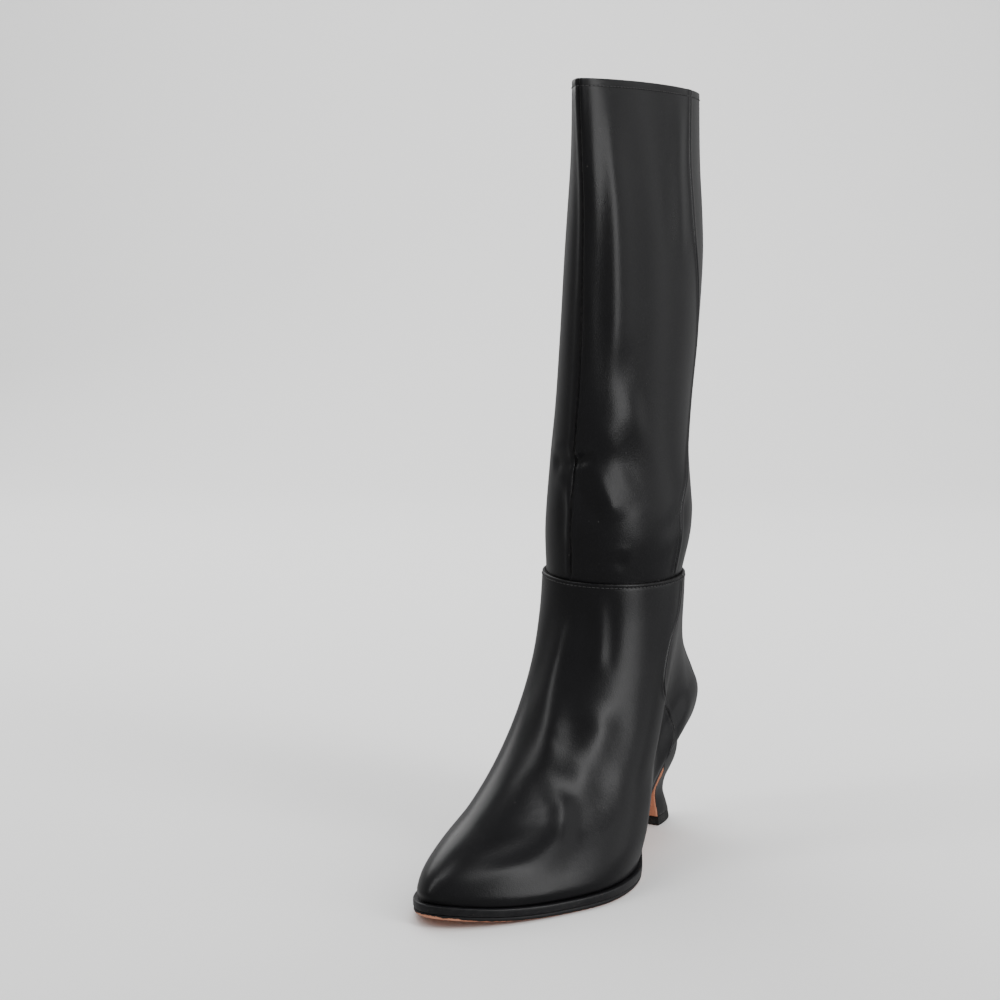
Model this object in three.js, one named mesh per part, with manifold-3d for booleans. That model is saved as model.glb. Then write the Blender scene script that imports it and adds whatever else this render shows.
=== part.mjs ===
// A knee-high boot for the left foot: pointed toe, slim flared heel, tall shaft, inner side zip.
// Millimetres, +Z up, toe towards -Y, outer (lateral) side of the foot towards +X.
import * as THREE from 'three';
import { mergeVertices } from 'three/addons/utils/BufferGeometryUtils.js';
import Module from 'manifold-3d';

const wasm = await Module();
wasm.setup();

// Overall sizes
const soleLength = 262;
const ballWidth = 95.4;
const ankleHeight = 159;
const shaftHeight = 270;
const ankleWidth = 76;
const ankleLength = 98;
const ankleTilt = 2;
const topWidth = 45;
const topLength = 152;
const seatHeight = 50;
const toeSpring = 5;
const seatTuck = 18;

// Walls, layers and clearances
const footWall = 1.8;
const shaftWall = 1.5;
const clearance = 0.3;
const tuckDepth = 8;
const outsoleThick = 2.6;
const weltThick = 4.4;
const ledge = 2.6;
const insoleThick = 2;
const insoleSlack = 0.9;
const seamWidth = 1.2;
const seamDepth = 0.5;
const cutReach = 3.5;

// Heel
const heelTipWidth = 17;
const heelCentre = 3.6;
const topPieceThick = 5.5;
const flapThick = 1.3;
const flapMitre = 1.8;
const topPieceGrowth = 1.08;

// Zip and gore
const slotWidth = 9;
const chainWidth = 4.8;
const zipTapeThick = 0.6;
const chainThick = 1.2;
const zipTop = 1.32;
const zipFoot = 0.1;
const sliderLength = 11;
const sliderWidth = 7.6;
const sliderThick = 1.6;
const pullLength = 21;
const pullWidth = 6.4;
const pullThick = 1.1;
const goreWidth = 13;
const goreDepth = 62;
const goreThick = 1;
const goreTip = 0.5;
const tapeDepth = 1;

// Directions
const halfSole = soleLength / 2;
const halfBall = ballWidth / 2;
const lap = footWall + clearance;
const degrees = Math.PI / 180;
const tuck = 1 - 2.6 * tuckDepth / shaftHeight;

// Plan of the sole, from toe (angle 0) to heel (180). Shares of half the ball width.
const OUTLINE = table('angle reach centre', [
  [0, 0.797, -0.21],
  [17, 0.881, -0.178],
  [35, 0.97, -0.11],
  [53, 1.03, -0.01],
  [71, 1.055, 0.11],
  [89, 0.9, 0.165],
  [99, 0.73, 0.145],
  [110, 0.585, 0.1],
  [130, 0.59, 0.085],
  [147, 0.7, 0.075],
  [165, 0.92, 0.075],
  [180, 1, 0.075],
]);

// Underside of the sole along the foot. Along: share of half the sole length. Height: share of
// the seat height. Layer: share of the full sole edge that is left. Edge: share of the ledge.
const UNDERSIDE = table('along height layer edge', [
  [-1, 0.1, 1, 1],
  [-0.84, 0.036, 1, 1],
  [-0.7, 0.008, 1, 1],
  [-0.56, 0, 1, 1],
  [-0.2, 0, 1, 1],
  [-0.06, 0.03, 0.93, 0.9],
  [0.12, 0.2, 0.72, 0.5],
  [0.28, 0.45, 0.55, 0.3],
  [0.42, 0.69, 0.46, 0.15],
  [0.56, 0.86, 0.45, 0.1],
  [0.75, 0.95, 0.45, 0.1],
  [1, 0.97, 0.45, 0.1],
]);

// Loops of the foot from the sole's edge (row 0) to the ankle line (row 1). Front and back: share
// of half the sole length. Rises: share of the way from sole to ankle line. Blend: from the plan of
// the sole to the ankle ring. Full and cup: width share at the front and round the heel. Follow: how
// much of the sole's curve a loop keeps.
const FOOT = table('row front frontRise back backRise blend full cup follow', [
  [0, -0.98, 0, 0.86, 0, 0, 1, 1, 1],
  [0.03, -0.985, 0.034, 0.905, 0.07, 0, 1.02, 1.14, 1],
  [0.08, -0.94, 0.088, 0.955, 0.165, 0.02, 1.02, 1.33, 0.97],
  [0.16, -0.83, 0.149, 0.978, 0.28, 0.07, 0.97, 1.37, 0.88],
  [0.28, -0.65, 0.216, 0.95, 0.395, 0.18, 0.9, 1.2, 0.66],
  [0.42, -0.443, 0.324, 0.9, 0.49, 0.36, 0.9, 1.1, 0.42],
  [0.58, -0.25, 0.473, 0.84, 0.6, 0.6, 0.93, 1.03, 0.22],
  [0.74, -0.1, 0.649, 0.785, 0.733, 0.82, 0.97, 1, 0.08],
  [0.88, -0.02, 0.831, 0.755, 0.867, 0.95, 1, 1, 0.02],
  [1, 0.004, 1, 0.752, 1, 1, 1, 1, 0],
]);

// Rings of the shaft from the ankle line (row 0) to the rim (row 1). Wide, long and lean: share of
// the way from the ankle ring to the rim. Twist: degrees. Lens: how sharp the front ridge is.
const SHAFT = table('row wide long lean twist lens', [
  [0, 0, 0, 0, 0, 1],
  [0.1, -0.14, 0.25, 0.24, 0.5, 1],
  [0.25, 0.15, 0.34, 0.28, 1, 1.05],
  [0.355, 0.28, 0.48, 0.46, 2, 1.1],
  [0.507, 0.3, 0.68, 0.76, 3, 1.15],
  [0.657, 0.36, 0.86, 0.96, 4, 1.2],
  [0.754, 0.5, 0.93, 1, 4.5, 1.25],
  [0.854, 0.75, 0.97, 1, 4, 1.3],
  [1, 1, 1, 1, 3, 1.3],
]);
const ankleCentre = [3, 0.378 * halfSole];
const topCentre = [7, 0.5 * halfSole];

// Sections of the heel from its top piece (row 0) to the seat (row 1). Breast and back: share of
// half the sole length. Wide: share of the tip's width. Blend: towards the plan of the sole.
const HEEL = table('row breast back wide blend', [
  [0, 0.7, 0.882, 1, 0],
  [0.12, 0.694, 0.86, 0.94, 0],
  [0.3, 0.68, 0.826, 0.9, 0.02],
  [0.48, 0.66, 0.822, 1, 0.16],
  [0.64, 0.636, 0.83, 1.3, 0.4],
  [0.8, 0.606, 0.84, 1.8, 0.68],
  [0.92, 0.578, 0.85, 2.2, 0.88],
  [1, 0.555, 0.86, 2.5, 1],
]);

// Angles of the seams, by row of the leg: 0 sole edge, 1 ankle line, 2 rim.
const FRONT_SEAM = table('row angle', [
  [0.9, -6], [1.1, -4], [1.3, -1], [1.5, 0], [1.77, -3], [2.1, -6],
]);
const OUTER_SHAFT_SEAM = table('row angle', [
  [0.9, 95], [1.05, 91], [1.13, 92], [1.21, 108], [1.31, 119],
  [1.45, 121], [1.58, 111], [1.7, 101], [1.82, 102], [2.1, 116],
]);
const OUTER_FOOT_SEAM = table('row angle', [
  [-0.1, 119], [0.1, 120.5], [0.23, 118], [0.36, 113], [0.5, 101], [0.6, 87.5], [0.69, 83.5],
  [0.79, 87], [0.88, 99], [1.1, 106],
]);
const INNER_SEAM = table('row angle', [[0, -106], [0.6, -103], [1, -101], [1.4, -100], [2.1, -96]]);

// Turns a list of rows into objects with named columns.
function table(names, list) {
  const columns = names.split(' ');
  return list.map((row) => Object.fromEntries(columns.map((name, i) => [name, row[i]])));
}

// Reads one column of a table as a smooth curve over its first column.
function read(rows, column, at) {
  const key = Object.keys(rows[0])[0];
  const last = rows.length - 1;
  let i = 0;
  while (i < last - 1 && at > rows[i + 1][key]) i += 1;
  const slope = (k) => {
    const a = Math.max(k - 1, 0);
    const b = Math.min(k + 1, last);
    return (rows[b][column] - rows[a][column]) / (rows[b][key] - rows[a][key]);
  };
  const span = rows[i + 1][key] - rows[i][key];
  const t = Math.min(Math.max((at - rows[i][key]) / span, 0), 1);
  const [t2, t3] = [t * t, t * t * t];
  return (2 * t3 - 3 * t2 + 1) * rows[i][column] + (t3 - 2 * t2 + t) * span * slope(i)
    + (3 * t2 - 2 * t3) * rows[i + 1][column] + (t3 - t2) * span * slope(i + 1);
}

function mix(a, b, t) {
  return a + (b - a) * t;
}

function ease(from, to, x) {
  return THREE.MathUtils.smoothstep(x, from, to);
}

function range(from, to, count) {
  return Array.from({ length: count + 1 }, (_, i) => mix(from, to, i / count));
}

// Plan point of the sole's edge at an angle, negative angles on the inner side. Inset is a share of
// the ledge there, and inwards is in millimetres.
function soleEdge(angle, inset = 0, inwards = 0) {
  const point = (a) => {
    const turn = Math.abs(a) % 360;
    const folded = turn > 180 ? 360 - turn : turn;
    const side = Math.sin(a * degrees);
    return new THREE.Vector2(
      halfBall * (read(OUTLINE, 'centre', folded) + read(OUTLINE, 'reach', folded) * side),
      mix(-halfSole, halfSole - seatTuck, (1 - Math.cos(a * degrees)) / 2),
    );
  };
  const here = point(angle);
  const along = point(angle + 0.5).sub(point(angle - 0.5)).normalize();
  const edge = ledge * read(UNDERSIDE, 'edge', here.y / halfSole);
  return here.add(new THREE.Vector2(-along.y, along.x).multiplyScalar(inset * edge + inwards));
}

function underside(y) {
  const rise = y < 0 ? toeSpring / (seatHeight * UNDERSIDE[0].height) : 1;
  return rise * seatHeight * Math.max(read(UNDERSIDE, 'height', y / halfSole), 0);
}

function soleLayer(y) {
  return (outsoleThick + weltThick) * read(UNDERSIDE, 'layer', y / halfSole);
}

// Height at which the upper meets the sole.
function featherHeight(y) {
  return underside(y) + soleLayer(y);
}

// Outer skin of the foot part at an angle round the leg and a row from sole edge to ankle.
function foot(angle, row) {
  const turn = (1 - Math.cos(angle * degrees)) / 2;
  const feather = soleEdge(angle, 1);
  const [toe, heel] = [soleEdge(0, 1).y, soleEdge(180, 1).y];
  const blend = read(FOOT, 'blend', row);
  const follow = read(FOOT, 'follow', row);
  const full = mix(read(FOOT, 'full', row), read(FOOT, 'cup', row), ease(0.62, 0.85, turn));
  const wide = mix(feather.x, ankleCentre[0] + ankleWidth / 2 * Math.sin(angle * degrees), blend);
  const centre = mix(halfBall * read(OUTLINE, 'centre', Math.abs(angle)), ankleCentre[0], blend);
  const front = mix(toe, halfSole * read(FOOT, 'front', row), ease(0, FOOT[1].row, row));
  const back = mix(heel, halfSole * read(FOOT, 'back', row), ease(0, FOOT[1].row, row));
  const [toeZ, heelZ] = [featherHeight(toe), featherHeight(heel)];
  const frontZ = mix(toeZ, ankleHeight, read(FOOT, 'frontRise', row));
  const backZ = mix(heelZ, ankleHeight, read(FOOT, 'backRise', row));
  const sag = featherHeight(feather.y) - mix(toeZ, heelZ, turn);
  return new THREE.Vector3(
    centre + (wide - centre) * full,
    mix(front, back, turn) + follow * (feather.y - mix(toe, heel, turn)),
    mix(frontZ, backZ, turn) + follow * sag + clearance / 2
      - ankleTilt * Math.sin(angle * degrees) * blend,
  );
}

// Outer skin of the shaft at an angle and a row from the ankle line to the rim.
function shaft(angle, row) {
  const wide = mix(ankleWidth / 2 - lap, topWidth / 2, read(SHAFT, 'wide', row));
  const long = mix(ankleLength / 2 - lap, topLength / 2, read(SHAFT, 'long', row));
  const lean = read(SHAFT, 'lean', row);
  const side = Math.sin(angle * degrees);
  const ridge = 1 + (read(SHAFT, 'lens', row) - 1) * (1 + Math.cos(angle * degrees)) / 2;
  const ring = new THREE.Vector2(
    wide * Math.sign(side) * Math.abs(side) ** ridge,
    -long * Math.cos(angle * degrees),
  ).rotateAround(new THREE.Vector2(), read(SHAFT, 'twist', row) * degrees);
  return new THREE.Vector3(
    ring.x + mix(ankleCentre[0], topCentre[0], lean),
    ring.y + mix(ankleCentre[1], topCentre[1], lean),
    ankleHeight + shaftHeight * row - ankleTilt * side * (1 - ease(0, 0.2, row)),
  );
}

// Outward normal of a skin. Near the sole it is kept level, so that the edge stands square.
function normal(skin, angle, row) {
  const [da, dr] = [0.4, 0.004];
  const along = skin(angle + da, row).sub(skin(angle - da, row));
  const up = skin(angle, row + dr).sub(skin(angle, Math.max(row - dr, 0)));
  const out = along.cross(up);
  if (row < 1) out.z *= ease(0, 0.08, row);
  return out.normalize();
}

function offset(skin, angle, row, distance) {
  return skin(angle, row).addScaledVector(normal(skin, angle, row), distance);
}

// Skin of the shaft with its tucked foot, which lies inside the foot part's top edge.
function shaftSkin(angle, row) {
  return row < 1 ? offset(foot, angle, row, -lap) : shaft(angle, row - 1);
}

// One skin over the whole leg, easing from the foot part in to the shaft just below the ankle line.
function legSkin(angle, row) {
  return row < 1 ? offset(foot, angle, row, -lap * ease(0.82, 1, row)) : shaft(angle, row - 1);
}

// A closed wall between two offsets from a skin, over rows of places that go once round.
function wall(skin, around, rows, inner, outer) {
  const columns = around.length - 1;
  const position = [];
  for (const distance of [outer, inner]) {
    for (const row of rows) {
      for (let i = 0; i < columns; i += 1) {
        position.push(...offset(skin, around[i], row, distance).toArray());
      }
    }
  }
  const at = (side, j, i) => (side * rows.length + j) * columns + (i % columns);
  const index = [];
  const quad = (a, b, c, d) => index.push(a, b, c, a, c, d);
  const top = rows.length - 1;
  for (let i = 0; i < columns; i += 1) {
    for (let j = 0; j < top; j += 1) {
      quad(at(0, j, i), at(0, j, i + 1), at(0, j + 1, i + 1), at(0, j + 1, i));
      quad(at(1, j, i), at(1, j + 1, i), at(1, j + 1, i + 1), at(1, j, i + 1));
    }
    quad(at(0, 0, i), at(1, 0, i), at(1, 0, i + 1), at(0, 0, i + 1));
    quad(at(0, top, i), at(0, top, i + 1), at(1, top, i + 1), at(1, top, i));
  }
  return faceted(position, index);
}

function faceted(position, index) {
  const geometry = new THREE.BufferGeometry();
  geometry.setAttribute('position', new THREE.Float32BufferAttribute(position, 3));
  geometry.setIndex(index);
  return geometry;
}

// A strip along a seam: sideways places are shares of its half width, in millimetres.
function strip(path, halfWidth, rows, inner, outer, across = [-1, 1]) {
  const skin = (share, row) => {
    const angle = read(path, 'angle', row);
    const step = legSkin(angle + 1, row).distanceTo(legSkin(angle - 1, row)) / 2;
    const half = typeof halfWidth === 'function' ? halfWidth(row) : halfWidth;
    return [angle + share * half / step, row];
  };
  const places = (distance) => rows.map((row) => across.map((share) => {
    const [angle, at] = skin(share, row);
    return offset(legSkin, angle, at, distance).toArray();
  }));
  return blockOf(places(outer), places(inner));
}

// A closed block between two grids of points with the same rows and columns.
function blockOf(outer, inner) {
  const [rows, columns] = [outer.length, outer[0].length];
  const [top, side] = [rows - 1, columns - 1];
  const position = [...outer.flat(2), ...inner.flat(2)];
  const at = (layer, j, i) => (layer * rows + j) * columns + i;
  const index = [];
  const quad = (a, b, c, d) => index.push(a, b, c, a, c, d);
  for (let j = 0; j < rows - 1; j += 1) {
    for (let i = 0; i < columns - 1; i += 1) {
      quad(at(0, j, i), at(0, j, i + 1), at(0, j + 1, i + 1), at(0, j + 1, i));
      quad(at(1, j, i), at(1, j + 1, i), at(1, j + 1, i + 1), at(1, j, i + 1));
    }
    quad(at(0, j, 0), at(0, j + 1, 0), at(1, j + 1, 0), at(1, j, 0));
    quad(at(0, j, side), at(1, j, side), at(1, j + 1, side), at(0, j + 1, side));
  }
  for (let i = 0; i < columns - 1; i += 1) {
    quad(at(0, 0, i), at(1, 0, i), at(1, 0, i + 1), at(0, 0, i + 1));
    quad(at(0, top, i), at(0, top, i + 1), at(1, top, i + 1), at(1, top, i));
  }
  return faceted(position, index);
}

// A slab lofted along the foot. Each station has a left and a right edge, a lower and an upper
// point in the side view. The first and the last station may close to a point.
function slab(stations) {
  const position = [];
  const corners = stations.map(({ left, right, low, high }) => {
    const start = position.length / 3;
    const closes = right - left < 1e-6;
    const sides = closes ? [left] : [left, right];
    for (const x of sides) position.push(x, low[0], low[1], x, high[0], high[1]);
    return closes ? [start, start, start + 1, start + 1] : [start, start + 2, start + 1, start + 3];
  });
  const index = [];
  const tri = (a, b, c) => {
    if (a !== b && b !== c && a !== c) index.push(a, b, c);
  };
  const quad = (a, b, c, d) => {
    tri(a, b, c);
    tri(a, c, d);
  };
  for (let i = 0; i < corners.length - 1; i += 1) {
    const [l0, r0, lt0, rt0] = corners[i];
    const [l1, r1, lt1, rt1] = corners[i + 1];
    quad(l0, l1, r1, r0);
    quad(lt0, rt0, rt1, lt1);
    quad(l0, lt0, lt1, l1);
    quad(r0, r1, rt1, rt0);
  }
  const cap = ([l, r, lt, rt], turned) => (turned ? quad(l, lt, rt, r) : quad(l, r, rt, lt));
  cap(corners[0], false);
  cap(corners.at(-1), true);
  return faceted(position, index);
}

// Booleans between closed meshes
function toSolid(geometry) {
  const bare = geometry.clone();
  bare.deleteAttribute('normal');
  bare.deleteAttribute('uv');
  const merged = mergeVertices(bare, 1e-4);
  return new wasm.Manifold(new wasm.Mesh({
    numProp: 3,
    vertProperties: merged.attributes.position.array,
    triVerts: new Uint32Array(merged.index.array),
  }));
}

function cut(geometry, ...tools) {
  let body = toSolid(geometry);
  for (const tool of tools) body = body.subtract(toSolid(tool));
  const mesh = body.getMesh();
  return faceted(Array.from(mesh.vertProperties), Array.from(mesh.triVerts));
}

function join(...pieces) {
  let body = toSolid(pieces[0]);
  for (const piece of pieces.slice(1)) body = body.add(toSolid(piece));
  const mesh = body.getMesh();
  return faceted(Array.from(mesh.vertProperties), Array.from(mesh.triVerts));
}

const boot = new THREE.Group();

function add(name, geometry, finish, parent = boot) {
  const mesh = new THREE.Mesh(geometry, new THREE.MeshStandardMaterial(finish));
  mesh.name = name;
  parent.add(mesh);
  return mesh;
}

const blackLeather = { color: 0x15161a, roughness: 0.38, metalness: 0 };
const blackEdge = { color: 0x17171a, roughness: 0.5, metalness: 0 };
const tanLeather = { color: 0xbe6e55, roughness: 0.6, metalness: 0 };
const blackFabric = { color: 0x0d0d0f, roughness: 0.85, metalness: 0 };
const blackMetal = { color: 0x1b1b1d, roughness: 0.4, metalness: 0.8 };
const lining = { color: 0x2a2725, roughness: 0.75, metalness: 0 };
const topRubber = { color: 0x101011, roughness: 0.7, metalness: 0 };

// Upper: the foot part in one hollow wall, slit for the zip, with the outer side seam as a groove.
const breastTurn = (HEEL.at(-1).breast + 1) * halfSole / (soleLength - seatTuck);
const breastAngle = Math.acos(1 - 2 * breastTurn) / degrees;
const turnSteps = [
  0, 4, 8, 13, 19, 26, 34, 42, 50, 57, 64, 71, 78, 85, 92, 100, 108, 116,
  breastAngle, 134, 142, 150, 157, 164, 172, 180,
];
const around = [...turnSteps, ...turnSteps.slice(1, -1).reverse().map((angle) => 360 - angle), 360];
const footRows = [0, 0.03, 0.07, 0.12, 0.18, 0.25, 0.32, 0.4, 0.48, 0.56, 0.64, 0.72, 0.8, 0.88, 0.94, 1];
const signed = (skin) => (angle, row) => skin(angle > 180 ? angle - 360 : angle, row);
const sliderRow = zipTop - 0.035;
const tapeEnd = 0.006;
const chainRows = range(zipFoot + 0.02, sliderRow + 0.012, 20);
const tapeRows = [zipFoot + tapeEnd, ...chainRows, zipTop - tapeEnd];
const slotRows = [zipFoot, ...tapeRows, zipTop];
const zipSlot = strip(INNER_SEAM, slotWidth / 2, slotRows, -cutReach, cutReach, [-1, 0, 1]);
const footSeam = strip(OUTER_FOOT_SEAM, seamWidth / 2, range(-0.02, 1.02, 16), -seamDepth, cutReach);
add('upper', cut(wall(signed(foot), around, footRows, -footWall, 0), zipSlot, footSeam), blackLeather);

// Shaft: a flattened tube tucked into the foot part, with the notch for the gore and three seams.
const shaftRows = [tuck, (1 + tuck) / 2, 1, ...range(1.04, 2, 14)];
const goreEnd = 2 - goreDepth / shaftHeight;
const notchHalf = (extra) => (row) => extra + goreWidth / 2 * (row - goreEnd) / (2 - goreEnd);
const notchRows = range(goreEnd - 0.012, 2.02, 5);
const notch = strip(INNER_SEAM, notchHalf(clearance + goreTip), notchRows, -cutReach, cutReach);
const groove = (path, from, to) => strip(path, seamWidth / 2, range(from, to, 16), -seamDepth, cutReach);
const shaftAround = around.filter((_, i) => i % 2 === 0 || i > 3);
const shaftTube = wall(signed(shaftSkin), shaftAround, shaftRows, -shaftWall, 0);
add('shaft', cut(
  shaftTube,
  zipSlot,
  notch,
  groove(FRONT_SEAM, 1.005, 2.02),
  groove(OUTER_SHAFT_SEAM, 1.005, 2.02),
  groove(INNER_SEAM, zipTop + 0.01, goreEnd),
), blackLeather);

// Gore: a wedge of elastic set into the notch at the top of the inner side.
add('gore', strip(
  INNER_SEAM,
  notchHalf(goreTip),
  range(goreEnd, 1.995, 6),
  -goreThick - clearance,
  -clearance,
  [-1, 0, 1],
), blackFabric);

// Zip: woven tape in the slot, the closed chain on it, slider at its top end and a hanging pull.
const tapeHalf = slotWidth / 2 - 1.5 * clearance;
const tapeLow = -tapeDepth - zipTapeThick;
add('zip_tape', strip(INNER_SEAM, tapeHalf, tapeRows, tapeLow, -tapeDepth, [-1, 0, 1]), blackFabric);
const chainLow = clearance - tapeDepth;
const chainHigh = chainLow + chainThick;
add('zip_chain', strip(INNER_SEAM, chainWidth / 2, chainRows, chainLow, chainHigh, [-1, 0, 1]), blackMetal);

// Heel: flat at the breast, round at the back, waisted above its tip.
const sideSteps = turnSteps
  .filter((angle) => angle >= breastAngle)
  .map((angle) => (angle - breastAngle) / (180 - breastAngle));
function heelRing(row) {
  const breast = halfSole * read(HEEL, 'breast', row);
  const back = halfSole * read(HEEL, 'back', row);
  const half = heelTipWidth / 2 * read(HEEL, 'wide', row);
  const blend = read(HEEL, 'blend', row);
  const ring = [];
  for (const side of [1, -1]) {
    const points = sideSteps.map((share) => {
      const angle = mix(breastAngle, 180, share);
      const edge = soleEdge(side * angle, 1);
      const quarter = share * 90 * degrees;
      const x = heelCentre + side * half * Math.cos(quarter) ** 0.8;
      const y = mix(breast, back, Math.sin(quarter));
      const z = mix(topPieceThick + clearance, featherHeight(edge.y) - clearance, row);
      return [mix(x, edge.x, blend), mix(y, edge.y + clearance * (1 - share), blend), z];
    });
    ring.push(...(side > 0 ? points : points.reverse().slice(1)));
  }
  return ring;
}

// A solid through a stack of rings with the same number of points, lowest first.
function loft(rings) {
  const count = rings[0].length;
  const position = rings.flat(2);
  const index = [];
  const at = (j, i) => j * count + (i % count);
  for (let j = 0; j < rings.length - 1; j += 1) {
    for (let i = 0; i < count; i += 1) {
      index.push(at(j, i), at(j, i + 1), at(j + 1, i + 1));
      index.push(at(j, i), at(j + 1, i + 1), at(j + 1, i));
    }
  }
  const top = rings.length - 1;
  const half = (count - 1) / 2;
  for (let i = 0; i < half; i += 1) {
    const [a, b, c, d] = [i, i + 1, count - 2 - i, count - 1 - i];
    index.push(at(0, a), at(0, d), at(0, c), at(top, a), at(top, c), at(top, d));
    if (b !== c) index.push(at(0, a), at(0, c), at(0, b), at(top, a), at(top, b), at(top, c));
  }
  return faceted(position, index);
}

const heelRows = [0, 0.1, 0.22, 0.36, 0.5, 0.62, 0.74, 0.84, 0.92, 1];
add('heel', loft(heelRows.map((row) => heelRing(row))), blackLeather);

const tipRing = heelRing(0);
const tipMiddle = halfSole * (HEEL[0].breast + HEEL[0].back) / 2;
const grow = (share, z) => tipRing.map(([x, y]) => (
  [mix(heelCentre, x, share), mix(tipMiddle, y, share), z]
));
add('top_piece', loft([grow(topPieceGrowth, 0), grow(1, topPieceThick)]), topRubber);

// Sole: a black welt strip under the upper, and a tan outsole that turns down over the heel's breast.
const soleAngles = turnSteps.filter((angle) => angle <= breastAngle);
const weltShare = weltThick / (outsoleThick + weltThick);

function soleStation(angle, lowShare, highShare, inset, inwards = 0) {
  const [outer, inner] = [soleEdge(angle, inset, inwards), soleEdge(-angle, inset, inwards)];
  const y = (outer.y + inner.y) / 2;
  const at = (share) => [y, underside(y) + soleLayer(y) * share];
  return { left: Math.min(inner.x, outer.x), right: outer.x, low: at(lowShare), high: at(highShare) };
}

const seam = clearance / 2;
const weltStations = soleAngles.map((angle) => soleStation(angle, 1 - weltShare, 1, 0));
weltStations.forEach((station) => {
  station.low[1] += seam;
  station.high[1] -= seam;
});
add('welt', slab(weltStations), blackEdge);

const outsoleStations = soleAngles.map((angle) => soleStation(angle, 0, 1 - weltShare, 0.1));
outsoleStations.forEach((station) => {
  station.high[1] -= seam;
});
const corner = outsoleStations.at(-1);
const flapRows = heelRows.filter((row) => row < 0.9).reverse();
corner.low[0] -= flapMitre;
const flapStations = flapRows.map((row) => {
  const ring = heelRing(row);
  const [right, y, z] = ring[0];
  const inner = Math.min(y, ring.at(-1)[1]) - clearance;
  return { left: ring.at(-1)[0], right, low: [inner - flapThick, z], high: [inner, z] };
});
add('outsole', slab([...outsoleStations, ...flapStations]), tanLeather);

// Insole: lies on the welt and the heel inside the upper.
const insoleStations = turnSteps.map((angle) => {
  const station = soleStation(angle, 1, 1, 1, footWall + clearance + insoleSlack);
  station.low[1] += clearance;
  station.high[1] += clearance + insoleThick;
  return station;
});
add('insole', slab(insoleStations), lining);

// Slider: a plate with a small arch, standing on the chain at the zip's top end.
const sliderAngle = read(INNER_SEAM, 'angle', sliderRow);
const sliderPoint = legSkin(sliderAngle, sliderRow);
const outwards = normal(legSkin, sliderAngle, sliderRow);
const higherAngle = read(INNER_SEAM, 'angle', sliderRow + 0.02);
const upwards = legSkin(higherAngle, sliderRow + 0.02).sub(sliderPoint);
upwards.addScaledVector(outwards, -upwards.dot(outwards)).normalize();
const sideways = new THREE.Vector3().crossVectors(upwards, outwards);
const zipFrame = new THREE.Group();
zipFrame.position.copy(sliderPoint);
zipFrame.quaternion.setFromRotationMatrix(new THREE.Matrix4().makeBasis(sideways, upwards, outwards));
boot.add(zipFrame);

// A flat plate in the zip's own frame: X sideways, Y up along the zip, Z away from the leather.
function plate(outline, low, thick) {
  const options = { depth: thick, bevelEnabled: false, curveSegments: 6 };
  return new THREE.ExtrudeGeometry(outline, options).translate(0, 0, low);
}

function block(x, y, z, width, height, depth) {
  return new THREE.BoxGeometry(width, height, depth).translate(x, y, z);
}

function shield(width, length, waist, shoulder, crown) {
  const outline = new THREE.Shape();
  outline.moveTo(-width / 2, length * shoulder);
  outline.quadraticCurveTo(0, length * crown, width / 2, length * shoulder);
  outline.lineTo(width / 2 * waist, -length / 2);
  outline.lineTo(-width / 2 * waist, -length / 2);
  outline.closePath();
  return outline;
}

const sliderLow = chainHigh + clearance;
const sliderHigh = sliderLow + sliderThick;
const archHeight = 3;
const archWidth = 1.6;
const archSpan = 5.4;
const archWall = 1.1;
const archMiddle = -0.4;
const archSink = 0.1;
const postPlace = (archSpan - archWall) / 2;
const posts = [-1, 1].map((side) => block(
  0, archMiddle + side * postPlace, sliderHigh + archHeight / 2 - archSink,
  archWidth, archWall, archHeight,
));
const bridge = block(
  0, archMiddle, sliderHigh + archHeight - archWall / 2 - archSink,
  archWidth, archSpan, archWall,
);
const sliderPlate = plate(shield(sliderWidth, sliderLength, 0.72, 0.32, 0.68), sliderLow, sliderThick);
add('zip_slider', join(sliderPlate, ...posts, bridge), blackMetal, zipFrame);

// Pull: a round pin through the arch, two arms beside it and a tab that hangs down.
const pinRadius = 0.6;
const pinLift = sliderHigh + pinRadius + clearance;
const armGap = archWidth + 2 * clearance;
const armWidth = (pullWidth - armGap) / 2;
const pin = new THREE.CylinderGeometry(pinRadius, pinRadius, armGap + armWidth, 10).rotateZ(Math.PI / 2);
const armLength = pullLength * 0.4;
const tabTop = pullLength * 0.36;
const arms = [-1, 1].map((side) => block(
  side * (armGap + armWidth) / 2, (pinRadius - armLength) / 2, 0,
  armWidth, armLength + pinRadius, pullThick,
));
const tabHalf = pullWidth / 2;
const tabRound = 1.5;
const tab = new THREE.Shape();
tab.moveTo(-tabHalf, -tabTop);
tab.lineTo(-tabHalf * 0.8, tabRound - pullLength);
tab.quadraticCurveTo(-tabHalf * 0.75, -pullLength, -tabHalf * 0.4, -pullLength);
tab.lineTo(tabHalf * 0.4, -pullLength);
tab.quadraticCurveTo(tabHalf * 0.75, -pullLength, tabHalf * 0.8, tabRound - pullLength);
tab.lineTo(tabHalf, -tabTop);
tab.closePath();
const pullFrame = new THREE.Group();
pullFrame.position.set(0, archMiddle, pinLift);
zipFrame.add(pullFrame);
add('zip_pull', join(pin, ...arms, plate(tab, -pullThick / 2, pullThick)), blackMetal, pullFrame);

// The boot stands on the floor with the middle of its plan over the origin.
const bounds = new THREE.Box3().setFromObject(boot);
boot.position.set(-(bounds.min.x + bounds.max.x) / 2, -(bounds.min.y + bounds.max.y) / 2, -bounds.min.z);
boot.updateMatrixWorld(true);

export default boot;
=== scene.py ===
"""A knee-high boot for the left foot, dressed over its CAD frame. Metres, toe towards -Y."""
import math

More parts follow.
